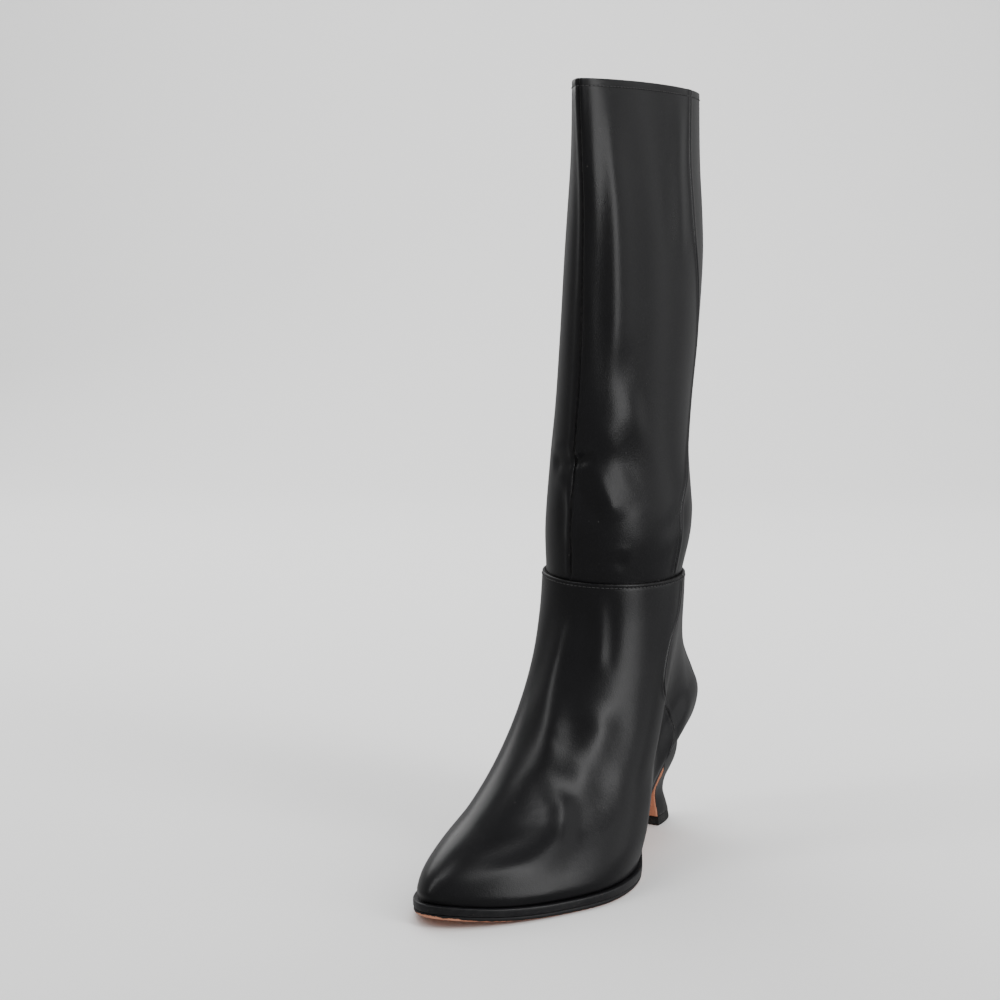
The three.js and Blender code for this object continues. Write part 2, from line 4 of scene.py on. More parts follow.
import bpy
import numpy as np
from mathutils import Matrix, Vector


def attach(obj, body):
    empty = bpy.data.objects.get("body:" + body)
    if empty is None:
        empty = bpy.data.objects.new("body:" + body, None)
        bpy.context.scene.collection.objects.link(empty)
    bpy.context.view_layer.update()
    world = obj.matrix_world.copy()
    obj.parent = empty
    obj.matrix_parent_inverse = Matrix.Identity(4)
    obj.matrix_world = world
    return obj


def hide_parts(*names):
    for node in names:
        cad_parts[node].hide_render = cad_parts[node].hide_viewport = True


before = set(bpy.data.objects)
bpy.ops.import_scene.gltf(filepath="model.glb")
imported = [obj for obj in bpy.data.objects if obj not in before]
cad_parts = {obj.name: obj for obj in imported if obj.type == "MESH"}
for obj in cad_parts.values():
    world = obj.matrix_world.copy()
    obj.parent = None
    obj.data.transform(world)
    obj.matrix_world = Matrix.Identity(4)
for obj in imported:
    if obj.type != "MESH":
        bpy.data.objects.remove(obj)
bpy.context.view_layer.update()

# Camera: the photograph's viewing angle, 30 degrees from the front towards the outer side, a little
# above the shaft's middle and looking 7.3 degrees down.
camera_data = bpy.data.cameras.new("photo_camera")
camera_data.sensor_width, camera_data.lens = 36.0, 73.26
camera = bpy.data.objects.new("photo_camera", camera_data)
bpy.context.collection.objects.link(camera)
camera.location = (0.51172, -0.9766, 0.345)
CAMERA_PITCH = math.radians(7.3)
level = math.cos(CAMERA_PITCH)
ahead = Vector((-0.5 * level, 0.866 * level, -math.sin(CAMERA_PITCH)))
camera.rotation_euler = ahead.to_track_quat("-Z", "Y").to_euler()
bpy.context.scene.camera = camera


# Floor: a pale studio sheet that lies flat under the boot and curves up behind it. It is matt.
class Wire:
    """One output of a shader node. Wires add, subtract and multiply as numbers do."""

    def __init__(self, tree, socket=None):
        self.tree, self.socket = tree, socket

    def node(self, kind, settings=None, inputs=None, output=0):
        """Any other node, by its type, its settings and what goes into its inputs."""
        made = self.tree.nodes.new("ShaderNode" + kind)
        for key, value in (settings or {}).items():
            setattr(made, key, value)
        for key, value in (inputs or {}).items():
            if isinstance(value, Wire):
                self.tree.links.new(value.socket, made.inputs[key])
            else:
                made.inputs[key].default_value = value
        return Wire(self.tree, made.outputs[output])

    def maths(self, operation, first, second):
        """A Math node between two wires or numbers."""
        return self.node("Math", {"operation": operation}, {0: first, 1: second})

    def __add__(self, other):
        return self.maths("ADD", self, other)

    def __radd__(self, other):
        return self.maths("ADD", other, self)

    def __sub__(self, other):
        return self.maths("SUBTRACT", self, other)

    def __rsub__(self, other):
        return self.maths("SUBTRACT", other, self)

    def __mul__(self, other):
        return self.maths("MULTIPLY", self, other)

    def __rmul__(self, other):
        return self.maths("MULTIPLY", other, self)

    def step(self, low, high):
        """0 below low and 1 above high, with a soft step between."""
        return self.node("MapRange", {"interpolation_type": "SMOOTHSTEP"},
                         {"Value": self, "From Min": low, "From Max": high})

    def blend(self, first, second):
        """A colour mixed from two, with this wire as the factor."""
        return self.node("Mix", {"data_type": "RGBA"}, {0: self, 6: first, 7: second}, output=2)


def start_material(name, **constants):
    """A new material: its tree's first wire, its main shader, and the constants set on that shader."""
    material = bpy.data.materials.new(name)
    material.use_nodes = True
    shader = material.node_tree.nodes["Principled BSDF"]
    for key, value in constants.items():
        shader.inputs[key.replace("_", " ")].default_value = value
    return material, Wire(material.node_tree), shader


def feed(wire, shader, key):
    """Links a wire to one of the shader's inputs."""
    wire.tree.links.new(wire.socket, shader.inputs[key])


def noise(wire, scale, detail=3.0, roughness=0.5, where=None):
    """Soft noise in the object's own space, with scale in waves per metre."""
    place = where or wire.node("TexCoord", output=3)
    return wire.node("TexNoise", {}, {"Vector": place, "Scale": scale, "Detail": detail,
                                      "Roughness": roughness})


def grid_faces(rows, columns):
    """Quads of a grid of points, facing the side where rows turn left of columns."""
    j, i = np.meshgrid(np.arange(rows - 1), np.arange(columns - 1), indexing="ij")
    at = (j * columns + i).ravel()
    return np.stack([at, at + 1, at + columns + 1, at + columns], 1)


def make_mesh(name, points, quads, materials, indices=None, attributes=None):
    """A smooth mesh object from whole arrays of points and quads, with its values for the shader."""
    mesh = bpy.data.meshes.new(name)
    mesh.from_pydata(points.reshape(-1, 3), [], quads)
    for material in materials:
        mesh.materials.append(material)
    if indices is not None:
        mesh.polygons.foreach_set("material_index", indices.astype(np.int32))
    mesh.polygons.foreach_set("use_smooth", np.full(len(mesh.polygons), True))
    for key, values in (attributes or {}).items():
        attribute = mesh.attributes.new(key, "FLOAT", "POINT")
        attribute.data.foreach_set("value", values.ravel().astype(np.float32))
    mesh.update()
    made = bpy.data.objects.new(name, mesh)
    bpy.context.collection.objects.link(made)
    return made


# The sheet is flat as far as FLAT_LENGTH behind the boot, bends up on a circle of 1 m radius through
# BEND_TURN radians, and goes on straight up. It is turned to stand square to the camera.
FLOOR_COLOUR, FLOOR_SHADE = (0.82, 0.82, 0.815, 1), (0.80, 0.80, 0.797, 1)
FLAT_LENGTH, BEND_TURN, FLOOR_ROWS, FLOOR_COLUMNS = 1.7, 1.4, 140, 30
TO_CAMERA = np.array([[0.866, 0.5], [-0.5, 0.866]])
away = np.linspace(-3.2, 3.4, FLOOR_ROWS)
drop = np.clip(away - FLAT_LENGTH, 0, None)
bent = np.clip(drop, 0, BEND_TURN)
side_grid, away_grid = np.meshgrid(
    np.linspace(-4, 4, FLOOR_COLUMNS), np.minimum(away, FLAT_LENGTH + np.sin(bent)))
rise = 1 - np.cos(bent) + np.clip(drop - BEND_TURN, 0, None)
rise_grid = np.broadcast_to(rise[:, None], side_grid.shape)
flat = np.stack([side_grid, away_grid], -1) @ TO_CAMERA
floor_points = np.concatenate([flat, rise_grid[..., None]], -1)
material, w, shader = start_material("studio_sheet", Roughness=0.75)
speckle = noise(w, 6.0, 4.0)
feed(speckle.blend(FLOOR_COLOUR, FLOOR_SHADE), shader, "Base Color")
feed(speckle * 0.06 + 0.7, shader, "Roughness")
floor = make_mesh("floor", floor_points, grid_faces(FLOOR_ROWS, FLOOR_COLUMNS), [material])


# Lights: two softboxes one over the other at the right, a wide dim one behind them, a narrow leaning
# one at the left front and a dim one on the inner side. Two more light the sheet and the boot's back
# and don't mirror in the leather.
def softbox(name, place, target, width, height, glow, mirrored=True):
    """A flat lamp. glow is the brightness of its face, where the pale sheet's is about 1."""
    data = bpy.data.lights.new(name, "AREA")
    data.shape, data.size, data.size_y = "RECTANGLE", width, height
    data.energy = glow * math.pi * width * height
    made = bpy.data.objects.new(name, data)
    bpy.context.collection.objects.link(made)
    made.location = place
    made.rotation_euler = (Vector(target) - Vector(place)).to_track_quat("-Z", "Y").to_euler()
    made.visible_glossy = mirrored


def around(angle, distance, height):
    """A place round the boot, by its angle in degrees from the toe towards the outer side."""
    return (distance * math.sin(math.radians(angle)), -distance * math.cos(math.radians(angle)), height)


softbox("right_low_softbox", around(84, 1.5, 0.4), (0, 0, 0.4), 0.6, 0.8, 5.0)
softbox("right_high_softbox", around(84, 1.5, 1.7), (0, 0, 0.5), 0.6, 1.8, 7.0)
softbox("right_wall_softbox", around(124, 1.9, 0.9), (0, 0, 0.6), 1.5, 2.0, 0.7)
softbox("left_softbox", around(-42, 1.05, 1.45), (0, -0.05, 0.15), 0.26, 1.8, 6.5)
softbox("inner_softbox", around(-118, 1.8, 1.2), (0, 0, 0.3), 0.9, 1.4, 2.2)
softbox("back_softbox", around(200, 1.6, 2.2), (0, 0, 0), 2.0, 1.5, 5.0, mirrored=False)
softbox("sheet_softbox", around(215, 0.5, 2.3), (-1.4, 2.6, 0.7), 1.4, 1.0, 12.0, mirrored=False)
floor.visible_glossy = False
world = bpy.data.worlds.new("room")
world.use_nodes = True
world.node_tree.nodes["Background"].inputs["Color"].default_value = (1, 1, 1, 1)
world.node_tree.nodes["Background"].inputs["Strength"].default_value = 0.35
bpy.context.scene.world = world


# Foot part: vamp and counter in one hollow shell of smooth black leather, 1.8 mm thick with its
# lining, lasted under at the sole and open at the ankle line and along the zip.
HALF_SOLE, SEAT_TUCK, HALF_BALL = 0.131, 0.018, 0.0477
ANKLE_HEIGHT, ANKLE_WIDTH, ANKLE_LENGTH, ANKLE_TILT = 0.159, 0.076, 0.098, 0.002
SEAT_HEIGHT, TOE_SPRING, LEDGE, SOLE_LAYER = 0.05, 0.005, 0.0026, 0.007
FOOT_WALL, CLEARANCE = 0.0018, 0.0003
ANKLE_CENTRE = (0.003, 0.378 * HALF_SOLE)
PLAN_MIDDLE = np.array([0.005777, 0.005198, 0.0])
SLOT_HALF, ZIP_FOOT, ZIP_TOP = 0.0045, 0.1, 1.32
STITCH_INSET = 0.0021


def table(names, rows):
    """A short table as named columns."""
    return dict(zip(names.split(), np.array(rows, float).T))


def read(rows, column, at):
    """A column as a smooth curve over the table's first one: cubic pieces through every point, with
    the slope at a point taken between its two neighbours."""
    x, y = next(iter(rows.values())), rows[column]
    low, high = np.maximum(np.arange(len(x)) - 1, 0), np.minimum(np.arange(len(x)) + 1, len(x) - 1)
    slope = (y[high] - y[low]) / (x[high] - x[low])
    i = np.clip(np.searchsorted(x, at) - 1, 0, len(x) - 2)
    span = x[i + 1] - x[i]
    t = np.clip((at - x[i]) / span, 0, 1)
    return ((2 * t ** 3 - 3 * t ** 2 + 1) * y[i] + (t ** 3 - 2 * t ** 2 + t) * span * slope[i]
            + (3 * t ** 2 - 2 * t ** 3) * y[i + 1] + (t ** 3 - t ** 2) * span * slope[i + 1])


def mix(a, b, t):
    """The value a share t of the way from a to b."""
    return a + (b - a) * t


def ease(low, high, x):
    """0 at low and 1 at high, with a soft S-curve between."""
    t = np.clip((x - low) / (high - low), 0, 1)
    return t * t * (3 - 2 * t)


# Plan of the sole by angle from the toe (0) to the heel (180), in shares of half the ball's width.
OUTLINE = table("angle reach centre", [
    [0, 0.797, -0.21], [17, 0.881, -0.178], [35, 0.97, -0.11], [53, 1.03, -0.01], [71, 1.055, 0.11],
    [89, 0.9, 0.165], [99, 0.73, 0.145], [110, 0.585, 0.1], [130, 0.59, 0.085], [147, 0.7, 0.075],
    [165, 0.92, 0.075], [180, 1, 0.075]])
# The sole along the foot, in shares of half its length: height of its underside, in shares of the
# seat's height (in front of the ball, 0.1 is the toe spring), and what is left of layer and ledge.
UNDERSIDE = table("along height layer edge", [
    [-1, 0.1, 1, 1], [-0.84, 0.036, 1, 1], [-0.7, 0.008, 1, 1], [-0.56, 0, 1, 1], [-0.2, 0, 1, 1],
    [-0.06, 0.03, 0.93, 0.9], [0.12, 0.2, 0.72, 0.5], [0.28, 0.45, 0.55, 0.3], [0.42, 0.69, 0.46, 0.15],
    [0.56, 0.86, 0.45, 0.1], [0.75, 0.95, 0.45, 0.1], [1, 0.97, 0.45, 0.1]])
# The foot part by row: places of its front and back in shares of half the sole, the share of the way
# up to the ankle line, the share of the ankle's ring, fullness in front and at the heel cup, and how
# far a loop follows the sole's edge.
FOOT = table("row front front_rise back back_rise blend full cup follow", [
    [0, -0.98, 0, 0.86, 0, 0, 1, 1, 1], [0.03, -0.985, 0.034, 0.905, 0.07, 0, 1.02, 1.14, 1],
    [0.08, -0.94, 0.088, 0.955, 0.165, 0.02, 1.02, 1.33, 0.97],
    [0.16, -0.83, 0.149, 0.978, 0.28, 0.07, 0.97, 1.37, 0.88],
    [0.28, -0.65, 0.216, 0.95, 0.395, 0.18, 0.9, 1.2, 0.66],
    [0.42, -0.443, 0.324, 0.9, 0.49, 0.36, 0.9, 1.1, 0.42],
    [0.58, -0.25, 0.473, 0.84, 0.6, 0.6, 0.93, 1.03, 0.22],
    [0.74, -0.1, 0.649, 0.785, 0.733, 0.82, 0.97, 1, 0.08],
    [0.88, -0.02, 0.831, 0.755, 0.867, 0.95, 1, 1, 0.02], [1, 0.004, 1, 0.752, 1, 1, 1, 1, 0]])
# Angles of the seams, by row of the leg: 0 the sole's edge, 1 the ankle line, 2 the rim.
INNER_SEAM = table("row angle", [[0, -106], [0.6, -103], [1, -101], [1.4, -100], [2.1, -96]])
OUTER_FOOT_SEAM = table("row angle", [
    [-0.1, 119], [0.1, 120.5], [0.23, 118], [0.36, 113], [0.5, 101], [0.6, 87.5], [0.69, 83.5],
    [0.79, 87], [0.88, 99], [1.1, 106]])


def sole_edge(angle, inset=0.0, inwards=0.0):
    """Plan point (x, y) of the sole's edge at an angle from the toe: x is the centre plus the reach
    times the angle's sine, and y runs from toe to heel with its cosine. The point is then moved
    inwards by a share of the ledge and by metres."""
    def point(a):
        folded = np.abs((a + 180) % 360 - 180)
        reach = read(OUTLINE, "reach", folded) * np.sin(np.radians(a))
        x = HALF_BALL * (read(OUTLINE, "centre", folded) + reach)
        return x, mix(-HALF_SOLE, HALF_SOLE - SEAT_TUCK, (1 - np.cos(np.radians(a))) / 2)
    (x, y), (x1, y1), (x0, y0) = point(angle), point(angle + 0.5), point(angle - 0.5)
    length = np.hypot(x1 - x0, y1 - y0)
    edge = inset * LEDGE * read(UNDERSIDE, "edge", y / HALF_SOLE) + inwards
    return x - edge * (y1 - y0) / length, y + edge * (x1 - x0) / length


def underside(y):
    """Height of the sole's underside: the toe spring in front of the ball and the arch behind it."""
    rise = np.where(y < 0, TOE_SPRING / UNDERSIDE["height"][0], SEAT_HEIGHT)
    return rise * np.maximum(read(UNDERSIDE, "height", y / HALF_SOLE), 0)


def sole_layer(y):
    """Thickness of outsole and welt together."""
    return SOLE_LAYER * read(UNDERSIDE, "layer", y / HALF_SOLE)


def feather_height(y):
    """Height of the edge where the upper meets the welt."""
    return underside(y) + sole_layer(y)


def foot(angle, row):
    """Outer skin of the foot part: loops from the sole's edge, row 0, to the ankle line, row 1."""
    angle = (angle + 180) % 360 - 180
    side, turn = np.sin(np.radians(angle)), (1 - np.cos(np.radians(angle))) / 2
    feather_x, feather_y = sole_edge(angle, 1)
    toe, heel = sole_edge(np.array(0.0), 1)[1], sole_edge(np.array(180.0), 1)[1]
    share = {key: read(FOOT, key, row) for key in FOOT if key != "row"}
    wide = mix(feather_x, ANKLE_CENTRE[0] + ANKLE_WIDTH / 2 * side, share["blend"])
    centre = mix(HALF_BALL * read(OUTLINE, "centre", np.abs(angle)), ANKLE_CENTRE[0], share["blend"])
    full = mix(share["full"], share["cup"], ease(0.62, 0.85, turn))
    front = mix(toe, HALF_SOLE * share["front"], ease(0, 0.03, row))
    back = mix(heel, HALF_SOLE * share["back"], ease(0, 0.03, row))
    front_z = mix(feather_height(toe), ANKLE_HEIGHT, share["front_rise"])
    back_z = mix(feather_height(heel), ANKLE_HEIGHT, share["back_rise"])
    sag = feather_height(feather_y) - mix(feather_height(toe), feather_height(heel), turn)
    tilt = ANKLE_TILT * side * share["blend"]
    return np.stack([
        centre + (wide - centre) * full,
        mix(front, back, turn) + share["follow"] * (feather_y - mix(toe, heel, turn)),
        mix(front_z, back_z, turn) + share["follow"] * sag + CLEARANCE / 2 - tilt,
    ], -1)


def outwards(skin, angle, row):
    """Unit normals of a skin. Close to the sole they are kept level, so that the edge stands square."""
    along = skin(angle + 0.4, row) - skin(angle - 0.4, row)
    up = skin(angle, row + 0.004) - skin(angle, np.maximum(row - 0.004, 0))
    out = np.cross(along, up)
    out[..., 2] *= np.where(row < 1, ease(0, 0.08, row), 1)
    return out / np.linalg.norm(out, axis=-1, keepdims=True)


def arc(skin, angle, row):
    """Metres per degree round a skin."""
    return np.linalg.norm(skin(angle + 0.5, row) - skin(angle - 0.5, row), axis=-1)


def spread(length, step):
    """Shares from 0 to 1 along a length, about a step apart, with closer ones at both ends."""
    close = np.array([0.2, 0.4, 0.65, 0.95, 1.35, 1.75, 2.1, 2.45, 2.9]) / 1000
    ends = close[-1] + step
    middle = np.linspace(ends, length - ends, max(int(length / step) - 2, 2))
    return np.unique(np.concatenate([[0], close, middle, length - close, [length]])) / length


def columns_between(anchors, lengths, step):
    """Angles over a grid that follows seams: anchors holds each seam's angle in every row."""
    parts = []
    for first, second, length in zip(anchors[:-1], anchors[1:], lengths):
        share = spread(length, step)
        parts.append(first[:, None] + (second - first)[:, None] * share[None, :][:, :-1])
    return np.concatenate([*parts, anchors[-1][:, None]], 1)


def groove(distance, depth=0.0005, half=0.0005, puff=0.0003, reach=0.0017):
    """Height over a seam: a narrow trough between two softly raised sides."""
    raised = puff * np.exp(-((np.abs(distance) - reach) / (0.7 * reach)) ** 2)
    return -depth * np.exp(-(distance / half) ** 2) + raised


def fold(points, path, width, depth, side):
    """Height of one crease over a grid of points: a trough along a path, highest on both banks, which
    fades out at its ends. side lifts the bank above the trough. A depth below 0 gives a soft ridge."""
    height = np.zeros(points.shape[:-1])
    near = np.all((points > path.min(0) - 4 * width) & (points < path.max(0) + 4 * width), -1)
    p = points[near]
    best, above, along = np.full(len(p), 9.0), np.zeros(len(p)), np.zeros(len(p))
    steps = np.concatenate([[0], np.cumsum(np.linalg.norm(np.diff(path, axis=0), axis=1))])
    for a, b, start, end in zip(path[:-1], path[1:], steps[:-1], steps[1:]):
        t = np.clip((p - a) @ (b - a) / np.dot(b - a, b - a), 0, 1)
        gap = p - (a + t[:, None] * (b - a))
        distance = np.linalg.norm(gap, axis=1)
        closer = distance < best
        best, above = np.where(closer, distance, best), np.where(closer, gap[:, 2], above)
        along = np.where(closer, mix(start, end, t) / steps[-1], along)
    taper = ease(0, 0.3, along) * ease(1, 0.7, along)
    s = best / width
    bank = side * np.exp(-((s - 1.6) / 0.9) ** 2) * np.clip(above / (best + 1e-6), -1, 1)
    height[near] = depth * taper * (-np.exp(-s ** 2) + 0.35 * np.exp(-((s - 1.9) / 0.9) ** 2) + bank)
    return height


def shell(outer, inner):
    """Points and quads of a closed sheet between two grids. The first quads are the outer side's."""
    rows, columns = outer.shape[:2]
    grid, count = grid_faces(rows, columns), rows * columns
    index = np.arange(count).reshape(rows, columns)
    rim = np.concatenate([index[0, :-1], index[:-1, -1], index[-1, :0:-1], index[:0:-1, 0]])
    after = np.roll(rim, -1)
    walls = np.stack([after, rim, rim + count, after + count], 1)
    points = np.concatenate([outer.reshape(-1, 3), inner.reshape(-1, 3)])
    return points, np.concatenate([grid, grid[:, ::-1] + count, walls])


def leather(name, tone=(0.0042, 0.0042, 0.0048, 1), roughness=0.3, grain=1500.0, relief=0.00005):
    """Smooth black leather: fine grain, soft colour change, dull creases and a little pale dust. The
    attribute crease is 1 in the folds and wear is 1 on edges that rub."""
    material, w, shader = start_material(name, IOR=1.5, Specular_IOR_Level=0.25)
    place = w.node("TexCoord", output=3)
    crease, wear = (w.node("Attribute", {"attribute_name": key}, output=2) for key in ("crease", "wear"))
    cloud, fine = noise(w, 18, 5, 0.6, place), noise(w, 420, 4, 0.6, place)
    cells = w.node("TexVoronoi", {"feature": "SMOOTH_F1"},
                   {"Vector": place, "Scale": grain, "Smoothness": 0.6})
    dust = w.node("TexVoronoi", {"feature": "F1"}, {"Vector": place, "Scale": 260.0}).step(0.09, 0.03) * \
        noise(w, 45, 2, 0.5, place).step(0.56, 0.66)
    colour = cloud.step(0.3, 0.75).blend(tone, tuple(1.5 * v for v in tone[:3]) + (1,))
    colour = (wear * fine.step(0.42, 0.62) * 0.6).blend(colour, (0.09, 0.085, 0.08, 1))
    colour = (dust * 0.5).blend(colour, (0.16, 0.155, 0.15, 1))
    feed(colour, shader, "Base Color")
    dull = roughness + (cloud - 0.5) * 0.12 + (fine - 0.5) * 0.06 + crease * 0.05 + dust * 0.3
    feed(dull, shader, "Roughness")
    wrinkle = noise(w, 130, 5, 0.55, place).step(0.35, 0.7) * (crease * 2.2 + 0.35)
    height = cells * relief + fine * (relief * 0.3) + wrinkle * 0.00003
    bump = w.node("Bump", {}, {"Strength": 0.8, "Distance": 1.0, "Height": height})
    feed(bump, shader, "Normal")
    return material


def lining_leather():
    """The lining: brown-black pigskin, matt and finely pored."""
    material, w, shader = start_material("lining", IOR=1.45)
    pores = noise(w, 900, 3, 0.6)
    feed(noise(w, 30, 3).blend((0.022, 0.019, 0.017, 1), (0.036, 0.031, 0.027, 1)), shader, "Base Color")
    feed(pores * 0.15 + 0.6, shader, "Roughness")
    feed(w.node("Bump", {}, {"Strength": 0.6, "Distance": 1.0, "Height": pores * 0.0001}), shader, "Normal")
    return material


black_leather, lining = leather("black_leather"), lining_leather()
# Rows stand closer at the sole and at the ankle's edge. The slit's lower end is a half circle.
CLOSED_SLIT = 0.00005
near_top = 1 - np.array([17, 14.5, 12, 10, 8, 6, 4.5, 3, 2, 1, 0]) / 1000
rows = np.unique(np.concatenate([np.linspace(0, 0.02, 4), np.linspace(0.02, 0.98, 116), near_top]))
slot_end = (rows - ZIP_FOOT) / 0.02
round_end = np.sqrt(np.clip(1 - (1 - np.clip(slot_end, 0, 1)) ** 2, 0, 1))
opening = np.where(slot_end > 0, SLOT_HALF * round_end, 0) + CLOSED_SLIT
inner_angle, outer_angle = read(INNER_SEAM, "angle", rows), read(OUTER_FOOT_SEAM, "angle", rows)
gap_angle = opening / arc(foot, inner_angle, rows)
angle = columns_between(
    [inner_angle + gap_angle, outer_angle, inner_angle + 360 - gap_angle], [0.22, 0.13], 0.0014)
row = np.broadcast_to(rows[:, None], angle.shape)
skin, normal = foot(angle, row), outwards(foot, angle, row)
seam_distance = (angle - outer_angle[:, None]) * arc(foot, outer_angle, rows)[:, None]
from_edge = np.minimum(angle - angle[:, :1], angle[:, -1:] - angle)
edge_distance = from_edge * arc(foot, inner_angle, rows)[:, None]
top_distance = np.linalg.norm(skin - foot(angle, np.ones_like(row)), axis=-1)


def round_off(distance, radius=0.0009):
    """How far a surface drops towards its edge, as a quarter circle."""
    return -radius * (1 - np.sqrt(np.clip(1 - (1 - np.clip(distance / radius, 0, 1)) ** 2, 0, 1)))


def on_skin(skin, places, count=24):
    """A smooth path on a skin through given (angle, row) points."""
    places = np.array(places, float)
    t = np.linspace(0, len(places) - 1, count)
    knots = {"at": np.arange(len(places), dtype=float), "angle": places[:, 0], "row": places[:, 1]}
    return skin(read(knots, "angle", t), read(knots, "row", t))


def channel(distance, inset, depth, half):
    """Height of the shallow channel that a row of stitches sinks into, with a soft bell section."""
    return -depth * np.exp(-((distance - inset) / half) ** 2)


def both(values):
    """A grid's values for the two halves of a mesh, one after the other."""
    return np.concatenate([values.ravel()] * 2)


def wall_slots(row, quads):
    """Material slots of a shell's quads: leather outside and on the edges (0), lining inside (1)."""
    side = len(grid_faces(*row.shape))
    slots = np.zeros(len(quads), int)
    slots[side:2 * side] = 1
    return slots


# Creases, each with its width and depth in metres (a ridge below 0), the lift of its upper bank and
# its path in angles and rows.
CHANNEL_DEPTH, SIDE_CHANNEL_DEPTH, CHANNEL_HALF = 0.00018, 0.00015, 0.0006
FOOT_FOLDS = [
    (0.0040, -0.0010, 0.0, [[20, 0.99], [22, 0.92], [26, 0.82], [29, 0.74]]),
    (0.0080, -0.0012, 0.0, [[36, 0.68], [43, 0.59], [44, 0.51], [38, 0.46], [28, 0.44]]),
    (0.0055, -0.0012, 0.0, [
        [27, 0.46], [36, 0.37], [44, 0.30], [48, 0.20], [45, 0.135], [34, 0.1], [20, 0.075]]),
    (0.0075, 0.0009, 0.0, [[58, 0.44], [60, 0.33], [58, 0.24], [52, 0.15]]),
    (0.0070, -0.0012, 0.0, [[5, 0.99], [-3, 0.866], [-4, 0.726], [10, 0.6], [21, 0.49], [26, 0.40]]),
]
height = groove(seam_distance) + round_off(top_distance, 0.0006) + round_off(edge_distance) * (row > ZIP_FOOT)
height += channel(top_distance, STITCH_INSET, CHANNEL_DEPTH, CHANNEL_HALF)
height += channel(edge_distance, STITCH_INSET, SIDE_CHANNEL_DEPTH, CHANNEL_HALF) * (row > ZIP_FOOT)
crease = np.zeros(row.shape)
for width, depth, side, places in FOOT_FOLDS:
    lifted = fold(skin, on_skin(foot, places), width, depth, side)
    height, crease = height + lifted, np.maximum(crease, np.clip(-lifted / 0.0012, 0, 1))
surface = skin + normal * height[..., None]
points, quads = shell(surface - PLAN_MIDDLE, surface - normal * FOOT_WALL - PLAN_MIDDLE)
wear = 0.25 * np.exp(-top_distance / 0.0005) + 0.4 * np.exp(-np.abs(seam_distance) / 0.0005)
foot_leather = make_mesh("foot_leather", points, quads, [black_leather, lining], wall_slots(row, quads), {
    "crease": both(crease), "wear": both(wear)})
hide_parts("upper")
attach(foot_leather, "boot")


STITCH_SIZE, STITCH_PITCH, STITCH_LIFT = (0.0019, 0.00055, 0.0005), 0.0025, 0.00005


def bead(length, width, height, square=1.0):
    """A small bar along X with rounded ends: eight-sided rings. A low square makes its section boxy."""
    turn = np.radians(np.arange(8) * 45 + 22.5)
    ring = np.stack([np.cos(turn), np.sin(turn)], -1)
    ring = np.sign(ring) * np.abs(ring) ** square * [width / 2, height / 2]
    x, swell = np.array([[-1, 0.4], [-0.93, 0.8], [-0.7, 1], [0, 1], [0.7, 1], [0.93, 0.8], [1, 0.4]]).T
    places = np.broadcast_to((x * length / 2)[:, None, None], (7, 8, 1))
    points = np.concatenate([places, ring * swell[:, None, None]], -1).reshape(-1, 3)
    index = np.arange(56).reshape(7, 8)
    after = np.roll(index, -1, 1)
    sides = np.stack([index[:-1], after[:-1], after[1:], index[1:]], -1).reshape(-1, 4)
    cap = np.array([[0, 1, 2, 3], [0, 3, 4, 7], [4, 5, 6, 7]])
    return points, np.concatenate([sides, cap + 48, cap[:, ::-1]])


def copies(shape, origin, along, out):
    """One small shape at many places, each in its own frame: X along, Z outwards."""
    points, quads = shape
    along = along / np.linalg.norm(along, axis=1, keepdims=True)
    out = out - along * np.sum(out * along, 1, keepdims=True)
    out = out / np.linalg.norm(out, axis=1, keepdims=True)
    x, y, z = points.T[:, None, :, None]
    placed = origin[:, None] + x * along[:, None] + y * np.cross(out, along)[:, None] + z * out[:, None]
    return placed, (quads + np.arange(len(origin))[:, None, None] * len(points)).reshape(-1, 4)


def places_along(skin, angle, row, pitch):
    """Points, directions and normals a fixed pitch apart along a path of angles and rows on a skin."""
    path = skin(angle, row)
    run = np.concatenate([[0], np.cumsum(np.linalg.norm(np.diff(path, axis=0), axis=1))])
    at = np.arange(pitch / 2, run[-1], pitch)
    point, ahead = (
        np.stack([np.interp(at + step, run, line) for line in path.T], -1) for step in (0, 0.0004))
    out = outwards(skin, np.interp(at, run, angle), np.interp(at, run, row))
    return point, ahead - point + 1e-9, out


def sew(name, skin, runs):
    """Rows of stitches in waxed black thread, half sunk in the leather."""
    found = [places_along(skin, angle, row, STITCH_PITCH) for angle, row in runs]
    point, along, out = (np.concatenate(part) for part in zip(*found))
    points, quads = copies(bead(*STITCH_SIZE), point + out * STITCH_LIFT - PLAN_MIDDLE, along, out)
    made = make_mesh(name, points, quads, [thread])
    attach(made, "boot")


def waxed_thread():
    """Twisted black polyester thread, with a waxy shine on its crowns."""
    material, w, shader = start_material("thread", IOR=1.5, Specular_IOR_Level=0.45)
    twist = noise(w, 2600, 2)
    feed(twist.blend((0.010, 0.010, 0.011, 1), (0.035, 0.034, 0.034, 1)), shader, "Base Color")
    feed(twist * 0.2 + 0.28, shader, "Roughness")
    feed(w.node("Bump", {}, {"Strength": 0.7, "Distance": 1.0, "Height": twist * 0.00008}), shader, "Normal")
    return material


